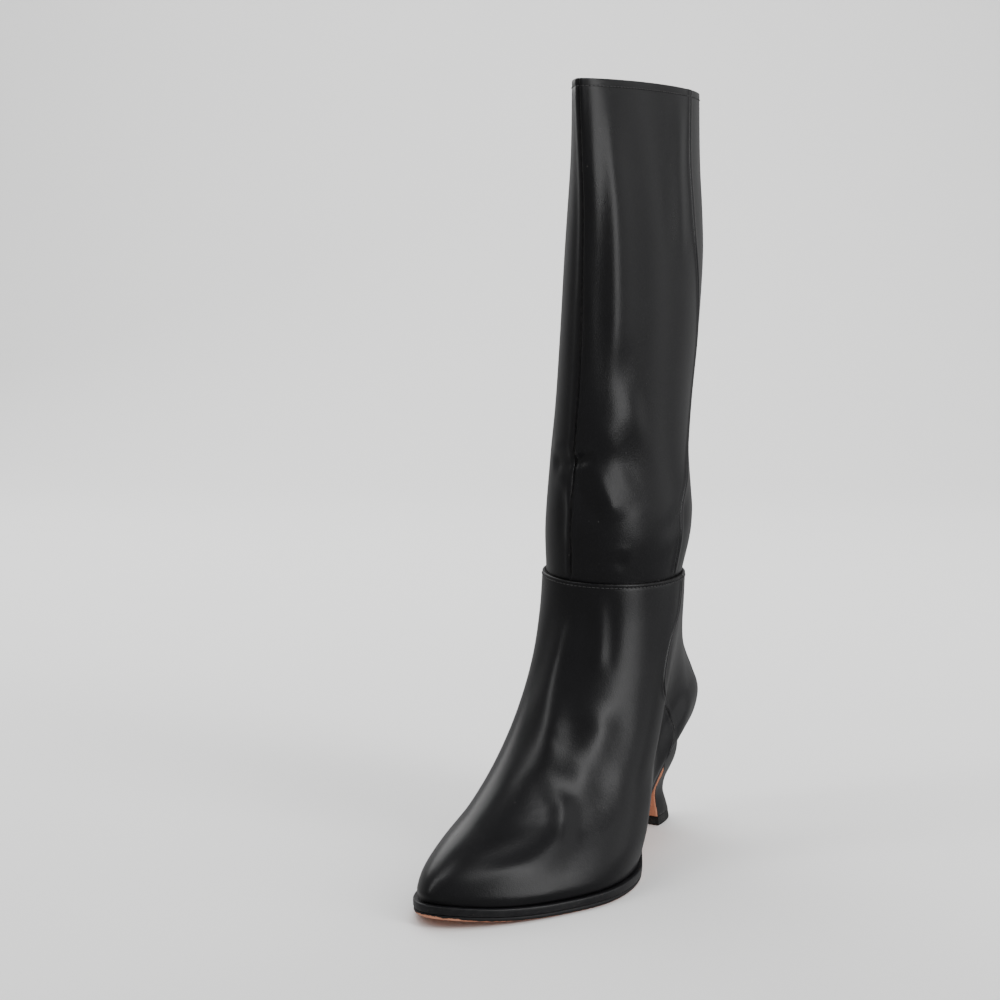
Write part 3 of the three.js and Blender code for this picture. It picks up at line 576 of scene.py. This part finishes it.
thread = waxed_thread()
ZIP_ANGLE = -101.0
start = ZIP_ANGLE + (SLOT_HALF + 0.0012) / arc(foot, ZIP_ANGLE, 1.0)
ring = np.linspace(start, 360 + 2 * ZIP_ANGLE - start, 400)
ankle_rows = 1 - 0.01 * STITCH_INSET / np.linalg.norm(foot(ring, 1.0) - foot(ring, 0.99), axis=-1)
side_rows = np.linspace(ZIP_FOOT + 0.02, 0.985, 200)
seam_angle = read(INNER_SEAM, "angle", side_rows)
aside = (SLOT_HALF + STITCH_INSET) / arc(foot, seam_angle, side_rows)
sew("foot_stitches", foot, [
    (ring, ankle_rows), (seam_angle - aside, side_rows), (seam_angle + aside, side_rows)])


# Shaft: a soft flattened tube of the same leather, 1.5 mm thick, tucked into the foot part and
# open along the zip and the gore. It slouches a little above the ankle line.
SHAFT_HEIGHT, SHAFT_WALL, TOP_WIDTH, TOP_LENGTH = 0.27, 0.0015, 0.045, 0.152
TOP_CENTRE = (0.007, 0.5 * HALF_SOLE)
TUCK_ROW, LAP = 1 - 2.6 * 0.008 / SHAFT_HEIGHT, FOOT_WALL + CLEARANCE
GORE_HALF, GORE_END = 0.0065, 2 - 0.062 / SHAFT_HEIGHT
# The shaft by row: shares of the way from the ankle's width, length and place to the rim's, the turn
# in degrees, and the power that narrows the ring towards its front ridge.
SHAFT = table("row wide long lean twist lens", [
    [0, 0, 0, 0, 0, 1], [0.1, -0.14, 0.25, 0.24, 0.5, 1], [0.25, 0.15, 0.34, 0.28, 1, 1.05],
    [0.355, 0.28, 0.48, 0.46, 2, 1.1], [0.507, 0.3, 0.68, 0.76, 3, 1.15], [0.657, 0.36, 0.86, 0.96, 4, 1.2],
    [0.754, 0.5, 0.93, 1, 4.5, 1.25], [0.854, 0.75, 0.97, 1, 4, 1.3], [1, 1, 1, 1, 3, 1.3]])
FRONT_SEAM = table("row angle", [[0.9, -6], [1.1, -4], [1.3, -1], [1.5, 0], [1.77, -3], [2.1, -6]])
OUTER_SHAFT_SEAM = table("row angle", [
    [0.9, 95], [1.05, 91], [1.13, 92], [1.21, 108], [1.31, 119], [1.45, 121], [1.58, 111], [1.7, 101],
    [1.82, 102], [2.1, 116]])


def shaft(angle, row):
    """Outer skin of the shaft from the ankle line, row 0, to the rim, row 1: flattened rings that lean,
    turn and sharpen at the front on the way up."""
    side = np.sin(np.radians(angle))
    wide = mix(ANKLE_WIDTH / 2 - LAP, TOP_WIDTH / 2, read(SHAFT, "wide", row))
    long = mix(ANKLE_LENGTH / 2 - LAP, TOP_LENGTH / 2, read(SHAFT, "long", row))
    ridge = 1 + (read(SHAFT, "lens", row) - 1) * (1 + np.cos(np.radians(angle))) / 2
    twist, lean = np.radians(read(SHAFT, "twist", row)), read(SHAFT, "lean", row)
    x, y = wide * np.sign(side) * np.abs(side) ** ridge, -long * np.cos(np.radians(angle))
    return np.stack([
        x * np.cos(twist) - y * np.sin(twist) + mix(ANKLE_CENTRE[0], TOP_CENTRE[0], lean),
        x * np.sin(twist) + y * np.cos(twist) + mix(ANKLE_CENTRE[1], TOP_CENTRE[1], lean),
        ANKLE_HEIGHT + SHAFT_HEIGHT * row - ANKLE_TILT * side * (1 - ease(0, 0.2, row)),
    ], -1)


def inset_foot(depth):
    """A skin for the whole leg: the foot part's, moved inwards by a depth that goes by row, and from
    row 1 on the shaft's own."""
    def skin(angle, row):
        low = np.minimum(row, 1)
        inside = foot(angle, low) - outwards(foot, angle, low) * np.asarray(depth(low))[..., None]
        return np.where(np.asarray(row < 1)[..., None], inside, shaft(angle, np.maximum(row - 1, 0)))
    return skin


shaft_skin = inset_foot(lambda row: LAP + 0 * row)
leg_skin = inset_foot(lambda row: LAP * ease(0.82, 1, row))
rows = np.unique(np.concatenate([
    np.linspace(TUCK_ROW, 1, 6), np.linspace(1, 1.42, 96), np.linspace(1.42, 1.981, 74),
    [1.983, 1.9844, 1.9852, 1.986, 1.9875, 1.9905, 1.9935, 1.9957, 1.9975, 1.9988, 2]]))
closed = ease(ZIP_TOP + 0.004, ZIP_TOP - 0.012, rows)
opening = SLOT_HALF * np.sqrt(np.clip(closed, 0, 1)) + CLOSED_SLIT
opening = np.maximum(opening, (GORE_HALF + 0.0005) * np.clip((rows - GORE_END) / (2 - GORE_END), 0, 1))
inner_angle, front_angle = read(INNER_SEAM, "angle", rows), read(FRONT_SEAM, "angle", rows)
outer_angle = read(OUTER_SHAFT_SEAM, "angle", rows)
gap_angle = opening / arc(shaft_skin, inner_angle, rows)
angle = columns_between([inner_angle + gap_angle, front_angle, outer_angle, inner_angle + 360 - gap_angle],
                        [0.1, 0.1, 0.15], 0.0016)
row = np.broadcast_to(rows[:, None], angle.shape)
skin, normal = shaft_skin(angle, row), outwards(shaft_skin, angle, row)
front_distance = (angle - front_angle[:, None]) * arc(shaft_skin, front_angle, rows)[:, None]
outer_distance = (angle - outer_angle[:, None]) * arc(shaft_skin, outer_angle, rows)[:, None]
from_edge = np.minimum(angle - angle[:, :1], angle[:, -1:] - angle)
edge_distance = from_edge * arc(shaft_skin, inner_angle, rows)[:, None]
rim_distance = (2 - row) * SHAFT_HEIGHT
above = ease(1.0, 1.02, row)
RIM_INSET, RIM_CHANNEL_HALF, OPEN_SLIT = 0.004, 0.0007, 0.0004
SHAFT_FOLDS = [
    (0.0045, -0.0012, 0.0, [[15, 1.99], [11, 1.85], [8, 1.67], [9, 1.52], [11, 1.40], [8, 1.30]]),
    (0.0092, -0.0015, 0.0, [[33, 1.99], [30, 1.83], [30, 1.68], [31, 1.53], [26, 1.43], [17, 1.345]]),
    (0.0070, -0.0007, 0.0, [[98, 1.99], [90, 1.88], [84, 1.76], [82, 1.62]]),
    (0.0050, 0.0015, 0.2, [[-3, 1.26], [3, 1.22], [10, 1.178], [17, 1.142], [23, 1.1]]),
    (0.0135, -0.0015, 0.0, [[14, 1.278], [28, 1.306], [42, 1.332], [60, 1.35]]),
    (0.0030, 0.0016, 0.2, [[-8, 1.258], [1, 1.25], [10, 1.252], [20, 1.262]]),
    (0.0034, -0.0010, 0.0, [[-3, 1.21], [-4, 1.14], [-4, 1.06]]),
    (0.0110, -0.0013, 0.0, [[8, 1.224], [17, 1.2], [24, 1.165], [27, 1.12]]),
    (0.0036, 0.0009, 0.1, [[10, 1.014], [21, 1.038], [34, 1.046], [46, 1.04]]),
    (0.0050, 0.0014, 0.1, [[-34, 1.235], [-14, 1.246], [-1, 1.244], [12, 1.25]]),
    (0.0060, 0.0006, 0.1, [[62, 1.07], [82, 1.115], [104, 1.15], [126, 1.16]]),
    (0.0060, 0.0012, 0.2, [[-70, 1.2], [-95, 1.15], [-125, 1.13], [-150, 1.16]]),
    (0.0055, 0.0011, 0.2, [[-75, 1.07], [-105, 1.09], [-140, 1.06]]),
    (0.0060, 0.0012, 0.2, [[128, 1.07], [150, 1.11], [175, 1.12], [200, 1.09]]),
]
open_here = opening[:, None] > OPEN_SLIT
beside_slit = np.where(open_here, round_off(edge_distance), groove(edge_distance) * above)
height = round_off(rim_distance, 0.0008) + beside_slit
for distance in (front_distance, outer_distance):
    height += groove(distance, 0.0008, 0.0006, 0.0005, 0.0021) * above
height += channel(rim_distance, RIM_INSET, CHANNEL_DEPTH, RIM_CHANNEL_HALF)
height += channel(edge_distance, STITCH_INSET, SIDE_CHANNEL_DEPTH, CHANNEL_HALF) * open_here
crease = np.zeros(row.shape)
for width, depth, side, places in SHAFT_FOLDS:
    lifted = fold(skin, on_skin(shaft_skin, places), width, depth, side) * ease(1.0, 1.03, row)
    height, crease = height + lifted, np.maximum(crease, np.clip(-lifted / 0.0015, 0, 1))
surface = skin + normal * height[..., None]
points, quads = shell(surface - PLAN_MIDDLE, surface - normal * SHAFT_WALL - PLAN_MIDDLE)
wear = 0.3 * np.exp(-rim_distance / 0.0006) + 0.3 * np.exp(-np.abs(front_distance) / 0.0005)
shaft_leather = make_mesh("shaft_leather", points, quads, [black_leather, lining], wall_slots(row, quads), {
    "crease": both(crease), "wear": both(wear)})
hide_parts("shaft")
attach(shaft_leather, "boot")


RIM_ANGLE = -96.5
rim_row = 2 - RIM_INSET / SHAFT_HEIGHT
start = read(INNER_SEAM, "angle", rim_row) + (GORE_HALF + 0.0015) / arc(shaft_skin, RIM_ANGLE, rim_row)
ring = np.linspace(start, 360 + 2 * RIM_ANGLE - start, 500)
side_rows = np.linspace(1.008, ZIP_TOP, 160)
seam_angle = read(INNER_SEAM, "angle", side_rows)
aside = (SLOT_HALF + STITCH_INSET) / arc(shaft_skin, seam_angle, side_rows)
gore_rows = np.linspace(GORE_END - 0.008, rim_row - 0.006, 120)
gore_angle = read(INNER_SEAM, "angle", gore_rows)
gore_share = np.clip((gore_rows - GORE_END) / (2 - GORE_END), 0, 1)
gore_aside = (GORE_HALF * gore_share + STITCH_INSET) / arc(shaft_skin, gore_angle, gore_rows)
sew("shaft_stitches", shaft_skin, [
    (ring, np.full(len(ring), rim_row)), (seam_angle - aside, side_rows), (seam_angle + aside, side_rows),
    (gore_angle - gore_aside, gore_rows), (gore_angle + gore_aside, gore_rows)])


# Gore: a wedge of black elastic set into the notch at the top of the inner side. Its rubber threads
# run up and down as fine ribs, and the weave crimps between them.
def seam_strip(rows, half, across):
    """Angles and rows of a grid along the inner seam, from shares of a half width."""
    angle = read(INNER_SEAM, "angle", rows)
    angle = angle[:, None] + across * (half / arc(leg_skin, angle, rows))[:, None]
    return angle, np.broadcast_to(rows[:, None], angle.shape)


def strip_solid(rows, half, across, low, high):
    """A closed ribbon along the inner seam between two heights over the leather's skin."""
    angle, row = seam_strip(rows, half, across)
    skin, normal = leg_skin(angle, row) - PLAN_MIDDLE, outwards(leg_skin, angle, row)
    return shell(skin + normal * high[..., None], skin + normal * low[..., None])


def woven(name, tone, light, scale, relief):
    """Black woven polyester: crossed threads, matt, with a little lint."""
    material, w, shader = start_material(name, IOR=1.5, Specular_IOR_Level=0.3, Sheen_Weight=0.15)
    place = w.node("TexCoord", output=3)
    threads = w.node("TexVoronoi", {"feature": "F1"}, {"Vector": place, "Scale": scale})
    lint = noise(w, 900, 3, 0.6, place)
    feed(threads.step(0.1, 0.6).blend(light, tone), shader, "Base Color")
    feed(lint * 0.2 + 0.7, shader, "Roughness")
    height = threads * -relief + lint * (0.4 * relief)
    feed(w.node("Bump", {}, {"Strength": 0.8, "Distance": 1.0, "Height": height}), shader, "Normal")
    return material


GORE_THICK, RIB_PITCH, CRIMP_PITCH = 0.001, 0.0012, 0.0019
rows, across = np.linspace(GORE_END, 1.995, 110), np.linspace(-1, 1, 61)
half = 0.0004 + GORE_HALF * (rows - GORE_END) / (2 - GORE_END)
ribs = 0.00011 * np.cos(across * half[:, None] * 2 * math.pi / RIB_PITCH) + \
    0.00005 * np.sin(rows * SHAFT_HEIGHT * 2 * math.pi / CRIMP_PITCH)[:, None]
top = -CLEARANCE - 0.0002 + ribs + round_off(2.001 * SHAFT_HEIGHT - rows * SHAFT_HEIGHT, 0.0008)[:, None]
points, quads = strip_solid(rows, half, across, top * 0 - CLEARANCE - GORE_THICK, top)
ribbed = woven("elastic", (0.008, 0.008, 0.009, 1), (0.022, 0.022, 0.023, 1), 1700, 0.00012)
elastic = make_mesh("gore_elastic", points, quads, [ribbed])
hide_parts("gore")
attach(elastic, "boot")


# Zip: woven tape sewn behind the slot, with two rows of small hooked teeth that mesh in its middle.
# The slider and its pull are the CAD's own, with rounded edges.
TAPE_HALF, TAPE_HIGH, TAPE_LOW = 0.00405, -0.001, -0.0016
rows, across = np.linspace(ZIP_FOOT + 0.006, ZIP_TOP - 0.006, 200), np.linspace(-1, 1, 17)
selvedge = 0.00012 * np.exp(-((np.abs(across) - 0.8) / 0.12) ** 2)
height = np.broadcast_to(TAPE_HIGH + selvedge, (len(rows), len(across)))
points, quads = strip_solid(rows, np.full(len(rows), TAPE_HALF), across, height * 0 + TAPE_LOW, height)
ribbon = woven("zip_tape", (0.006, 0.006, 0.007, 1), (0.017, 0.017, 0.018, 1), 2300, 0.0001)
tape = make_mesh("woven_tape", points, quads, [ribbon])
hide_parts("zip_tape")
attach(tape, "boot")


def dark_metal(name):
    """Black plated metal, a little brassy and bright where the plating has rubbed off."""
    material, w, shader = start_material(name, Metallic=1.0)
    place = w.node("TexCoord", output=3)
    rubbed = noise(w, 380, 4, 0.6, place)
    feed(rubbed.step(0.56, 0.74).blend((0.055, 0.055, 0.058, 1), (0.34, 0.33, 0.32, 1)), shader, "Base Color")
    feed(noise(w, 1500, 2, 0.5, place) * 0.25 + 0.2, shader, "Roughness")
    return material


zip_metal = dark_metal("zip_metal")
TOOTH_PITCH, TOOTH_REACH, TOOTH_SINK, HOOK_REACH = 0.00075, 0.00095, 0.0001, 0.00005
TOOTH_SIZE, HOOK_SIZE = (0.0027, 0.00078, 0.0011, 0.5), (0.0009, 0.00105, 0.0012, 0.6)
rows = np.linspace(ZIP_FOOT + 0.02, ZIP_TOP - 0.03, 400)
point, along, out = places_along(leg_skin, read(INNER_SEAM, "angle", rows), rows, TOOTH_PITCH)
side = np.cross(out, along)
side = side / np.linalg.norm(side, axis=1, keepdims=True) * np.where(np.arange(len(side)) % 2, 1, -1)[:, None]
centre = point - PLAN_MIDDLE - out * TOOTH_SINK
tooth, tooth_quads = copies(bead(*TOOTH_SIZE), centre + side * TOOTH_REACH, side, out)
hook, hook_quads = copies(bead(*HOOK_SIZE), centre - side * HOOK_REACH, side, out)
points = np.concatenate([tooth.reshape(-1, 3), hook.reshape(-1, 3)])
quads = np.concatenate([tooth_quads, hook_quads + tooth[..., 0].size])
teeth = make_mesh("zip_teeth", points, quads, [zip_metal])
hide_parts("zip_chain")
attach(teeth, "boot")
for name in ("zip_slider", "zip_pull"):
    part = bpy.data.objects[name]
    part.material_slots[0].material = zip_metal
    bevel = part.modifiers.new("rounded_edges", "BEVEL")
    bevel.width, bevel.segments, bevel.limit_method = 0.00022, 3, "ANGLE"


# Welt: the strip of leather that the upper is sewn down to, with a painted black edge and a narrow
# ledge round the foot. It ends at the heel's breast.
WELT_SHARE = 0.0044 / SOLE_LAYER
# The heel by row: places of its breast and back in shares of half the sole, its width in shares of
# the tip's, and the share of the sole's edge in its plan.
HEEL = table("row breast back wide blend", [
    [0, 0.7, 0.882, 1, 0], [0.12, 0.694, 0.86, 0.94, 0], [0.3, 0.68, 0.826, 0.9, 0.02],
    [0.48, 0.66, 0.822, 1, 0.16], [0.64, 0.636, 0.83, 1.3, 0.4], [0.8, 0.606, 0.84, 1.8, 0.68],
    [0.92, 0.578, 0.85, 2.2, 0.88], [1, 0.555, 0.86, 2.5, 1]])
breast_turn = (HEEL["breast"][-1] + 1) * HALF_SOLE / (2 * HALF_SOLE - SEAT_TUCK)
BREAST_ANGLE = math.degrees(math.acos(1 - 2 * breast_turn))


def loft_pairs(right, left):
    """A solid through stations from front to back. Each has a right and a left column of points, from
    its lower middle out round the edge to its upper middle."""
    stations, count = right.shape[:2]
    r = np.arange(stations * count).reshape(stations, count)
    l = r + stations * count

    def quads(a, b, c, d):
        return np.stack([a.ravel(), b.ravel(), c.ravel(), d.ravel()], 1)
    faces = np.concatenate([
        quads(r[:-1, :-1], r[1:, :-1], r[1:, 1:], r[:-1, 1:]),
        quads(l[:-1, :-1], l[:-1, 1:], l[1:, 1:], l[1:, :-1]),
        quads(r[:-1, 0], l[:-1, 0], l[1:, 0], r[1:, 0]), quads(r[:-1, -1], r[1:, -1], l[1:, -1], l[:-1, -1]),
        quads(l[0, :-1], r[0, :-1], r[0, 1:], l[0, 1:]), quads(r[-1, :-1], l[-1, :-1], l[-1, 1:], r[-1, 1:])])
    return np.concatenate([right.reshape(-1, 3), left.reshape(-1, 3)]), faces


def sole_columns(angle, profile, inset, low, high, side):
    """Points of a sole layer on one side. The profile has the distance inwards from the edge in
    metres, and the share of the way from the layer's low to its high side."""
    edge_y = sole_edge(angle * side, inset)[1][:, None]
    x, y = sole_edge(angle[:, None] * side, inset, profile[:, 0])
    z = underside(edge_y) + sole_layer(edge_y) * mix(low, high, profile[:, 1])
    return np.stack([x, y, np.broadcast_to(z, x.shape)], -1) - PLAN_MIDDLE


def edge_paint():
    """Black edge ink on leather: satin, a little uneven, chipped and greyed where it has been rubbed."""
    material, w, shader = start_material("edge_paint", IOR=1.5, Specular_IOR_Level=0.3)
    place = w.node("TexCoord", output=3)
    coat, chips = noise(w, 160, 4, 0.6, place), noise(w, 700, 4, 0.7, place)
    colour = coat.step(0.3, 0.8).blend((0.006, 0.006, 0.007, 1), (0.012, 0.012, 0.013, 1))
    colour = (chips.step(0.66, 0.72) * 0.7).blend(colour, (0.12, 0.10, 0.09, 1))
    feed(colour, shader, "Base Color")
    feed(coat * 0.25 + 0.25 + chips.step(0.66, 0.72) * 0.3, shader, "Roughness")
    height = coat * 0.00025 + chips * 0.00008
    feed(w.node("Bump", {}, {"Strength": 0.7, "Distance": 1.0, "Height": height}), shader, "Normal")
    return material


WELT_PROFILE = np.array([
    [10, 0], [1.2, 0], [0.3, 0.01], [0.08, 0.05], [0, 0.13], [-0.04, 0.3], [-0.05, 0.5], [-0.04, 0.7],
    [0, 0.87], [0.08, 0.94], [0.25, 0.98], [0.5, 1], [1.4, 1], [2.4, 1], [10, 1]]) / [1000, 1]
stations = np.concatenate([[0.8, 2], np.linspace(4, BREAST_ANGLE, 150)])
GAP_SHARE = CLEARANCE / 2 / SOLE_LAYER
painted = edge_paint()
columns = [
    sole_columns(stations, WELT_PROFILE, 0, 1 - WELT_SHARE + GAP_SHARE, 1 - GAP_SHARE, side)
    for side in (1, -1)]
welt = make_mesh("painted_welt", *loft_pairs(*columns), [painted])
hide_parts("welt")
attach(welt, "boot")


# Outsole: tan leather under the whole foot, black on its edge, that turns down over the heel's
# breast as a thin flap. The black ends in a worn, uneven line.
def worn_tan():
    """Tan sole leather with black edge ink. The attribute inked is how far a point lies past the
    ink's end, in millimetres, and below 0 inside it. tread is 1 where the sole meets the floor."""
    material, w, shader = start_material("tan_sole", IOR=1.45, Specular_IOR_Level=0.35)
    place = w.node("TexCoord", output=3)
    past, tread = (w.node("Attribute", {"attribute_name": key}, output=2) for key in ("inked", "tread"))
    cloud, scuff = noise(w, 25, 4, 0.6, place), noise(w, 260, 5, 0.7, place)
    fine = noise(w, 1300, 3, 0.6, place)
    tan = cloud.step(0.3, 0.75).blend((0.44, 0.175, 0.10, 1), (0.52, 0.235, 0.145, 1))
    tan = (tread * scuff.step(0.45, 0.62) * 0.75).blend(tan, (0.10, 0.06, 0.045, 1))
    bare = (past + (scuff - 0.5) * 2.6 + (fine - 0.5) * 0.8).step(-0.15, 0.15)
    feed(bare.blend((0.007, 0.007, 0.008, 1), tan), shader, "Base Color")
    feed(fine * 0.2 + 0.45 + bare * 0.1, shader, "Roughness")
    height = scuff * 0.00015 * (tread + 0.2) + fine * 0.00005
    feed(w.node("Bump", {}, {"Strength": 0.7, "Distance": 1.0, "Height": height}), shader, "Normal")
    return material


TIP_WIDTH, HEEL_CENTRE, TOP_PIECE_THICK, FLAP_THICK, FLAP_MITRE = 0.017, 0.0036, 0.0055, 0.0013, 0.0018


def heel_side(side, share, row):
    """One side of the heel's skin, from its breast, share 0, to the middle of its back, share 1, and
    from the top piece, row 0, to the seat, row 1."""
    quarter, blend = share * math.pi / 2, read(HEEL, "blend", row)
    edge_x, edge_y = sole_edge(side * mix(BREAST_ANGLE, 180, share), 1)
    half = TIP_WIDTH / 2 * read(HEEL, "wide", row)
    x = HEEL_CENTRE + side * half * np.clip(np.cos(quarter), 0, 1) ** 0.8
    y = mix(HALF_SOLE * read(HEEL, "breast", row), HALF_SOLE * read(HEEL, "back", row), np.sin(quarter))
    z = mix(TOP_PIECE_THICK + CLEARANCE, feather_height(edge_y) - CLEARANCE, row)
    return np.stack([mix(x, edge_x, blend), mix(y, edge_y + CLEARANCE * (1 - share), blend), z], -1)


OUTSOLE_PROFILE = np.array([
    [10, 0], [6, 0], [4, 0], [2.8, 0], [1.8, 0], [0.9, 0.04], [0.35, 0.16], [0.05, 0.4], [0, 0.75], [0.25, 1],
    [3, 1], [10, 1]]) / [1000, 1]
# Millimetres past the ink's end at each point of the profile.
past_ink = np.array([10, 6, 4, 2.8, 1.8, 0.9, 0.1, -0.6, -1.4, -2.4, -3, -3])
FLAP_REACH = 0.006
flap_rows = np.linspace(0.86, 0, 40)
at_breast = np.zeros(len(flap_rows))
flap_sides = [heel_side(side, at_breast, flap_rows) for side in (1, -1)]
low_y = np.minimum(flap_sides[0][:, 1], flap_sides[1][:, 1])[:, None] - PLAN_MIDDLE[1]
columns = []
for side, flap_side in zip((1, -1), flap_sides):
    sole = sole_columns(stations, OUTSOLE_PROFILE, 0.1, 0, 1 - WELT_SHARE - GAP_SHARE, side)
    sole[-1, :, 1] -= FLAP_MITRE * (1 - OUTSOLE_PROFILE[:, 1])
    corner = flap_side[:, None] - PLAN_MIDDLE
    inwards = np.minimum(OUTSOLE_PROFILE[:, 0], FLAP_REACH)
    flap_y = low_y - CLEARANCE - FLAP_THICK * (1 - OUTSOLE_PROFILE[:, 1])
    flap = np.stack(np.broadcast_arrays(corner[..., 0] - side * inwards, flap_y, corner[..., 2]), -1)
    columns.append(np.concatenate([sole, flap]))
toe_wear = 1.3 * np.exp(-(stations / 22) ** 2)
inked = np.concatenate([past_ink + toe_wear[:, None], np.tile(past_ink + 1.2, (len(flap_rows), 1))])
lowest = columns[0][..., 2].min(1)
on_floor = ease(0.0022, 0.0004, lowest) * (np.arange(len(lowest)) < len(stations))
tread = np.broadcast_to(on_floor[:, None], inked.shape)
outsole = make_mesh("tan_outsole", *loft_pairs(*columns), [worn_tan()], attributes={
    "inked": both(inked), "tread": both(tread)})
outsole.data.set_sharp_from_angle(angle=math.radians(40))
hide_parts("outsole")
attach(outsole, "boot")


# Heel: a slim block covered with the upper's leather, flat at its breast and waisted above the tip.
# The cover is pulled tight, so only its lower edge and its breast corners are worn.
heel_leather = leather("heel_leather", roughness=0.34, relief=0.00004)
shares = np.concatenate([[0, 0.006, 0.015, 0.03], np.linspace(0.05, 0.99, 56)])
rows = np.linspace(0, 1, 90)
share, row = np.meshgrid(shares, rows, indexing="ij")
columns = [heel_side(side, share, row) - PLAN_MIDDLE for side in (1, -1)]
wear = 0.7 * np.exp(-share / 0.012) * ease(0.8, 0.4, row) + 0.8 * np.exp(-row / 0.015)
heel = make_mesh("covered_heel", *loft_pairs(*columns), [heel_leather], attributes={
    "crease": np.zeros(2 * share.size), "wear": both(wear)})
heel.data.set_sharp_from_angle(angle=math.radians(40))
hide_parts("heel")
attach(heel, "boot")


# Top piece: the small black rubber lift nailed under the heel, a little wider at the floor.
def black_rubber():
    """Black rubber: matt and gritty, greyed where the floor has rubbed it."""
    material, w, shader = start_material("top_piece", IOR=1.5, Specular_IOR_Level=0.3)
    place = w.node("TexCoord", output=3)
    grit, rub = noise(w, 1500, 4, 0.7, place), noise(w, 200, 4, 0.6, place)
    feed(rub.step(0.5, 0.75).blend((0.010, 0.010, 0.010, 1), (0.028, 0.027, 0.026, 1)), shader, "Base Color")
    feed(grit * 0.3 + 0.5, shader, "Roughness")
    height = grit * 0.00012 + rub * 0.0001
    feed(w.node("Bump", {}, {"Strength": 0.8, "Distance": 1.0, "Height": height}), shader, "Normal")
    return material


TIP_PROFILE = np.array([
    [0, 1.03], [0.15, 1.065], [0.5, 1.08], [1.2, 1.07], [2.6, 1.045], [4, 1.02], [5.1, 1.003], [5.4, 0.99],
    [5.5, 0.96]]) / [1000, 1]
tip_middle = HALF_SOLE * (HEEL["breast"][0] + HEEL["back"][0]) / 2
columns = []
for side in (1, -1):
    outline = heel_side(side, shares, np.zeros(len(shares)))[:, None]
    middle = np.array([HEEL_CENTRE, tip_middle])
    plan = middle + (outline[..., :2] - middle) * TIP_PROFILE[:, 1:]
    height = np.broadcast_to(TIP_PROFILE[:, 0, None], (*plan.shape[:2], 1))
    columns.append(np.concatenate([plan, height], -1) - PLAN_MIDDLE)
lift = make_mesh("rubber_lift", *loft_pairs(*columns), [black_rubber()])
lift.data.set_sharp_from_angle(angle=math.radians(50))
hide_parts("top_piece")
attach(lift, "boot")


# Insole: the CAD's own board inside the boot, covered with the lining's leather.
bpy.data.objects["insole"].material_slots[0].material = lining
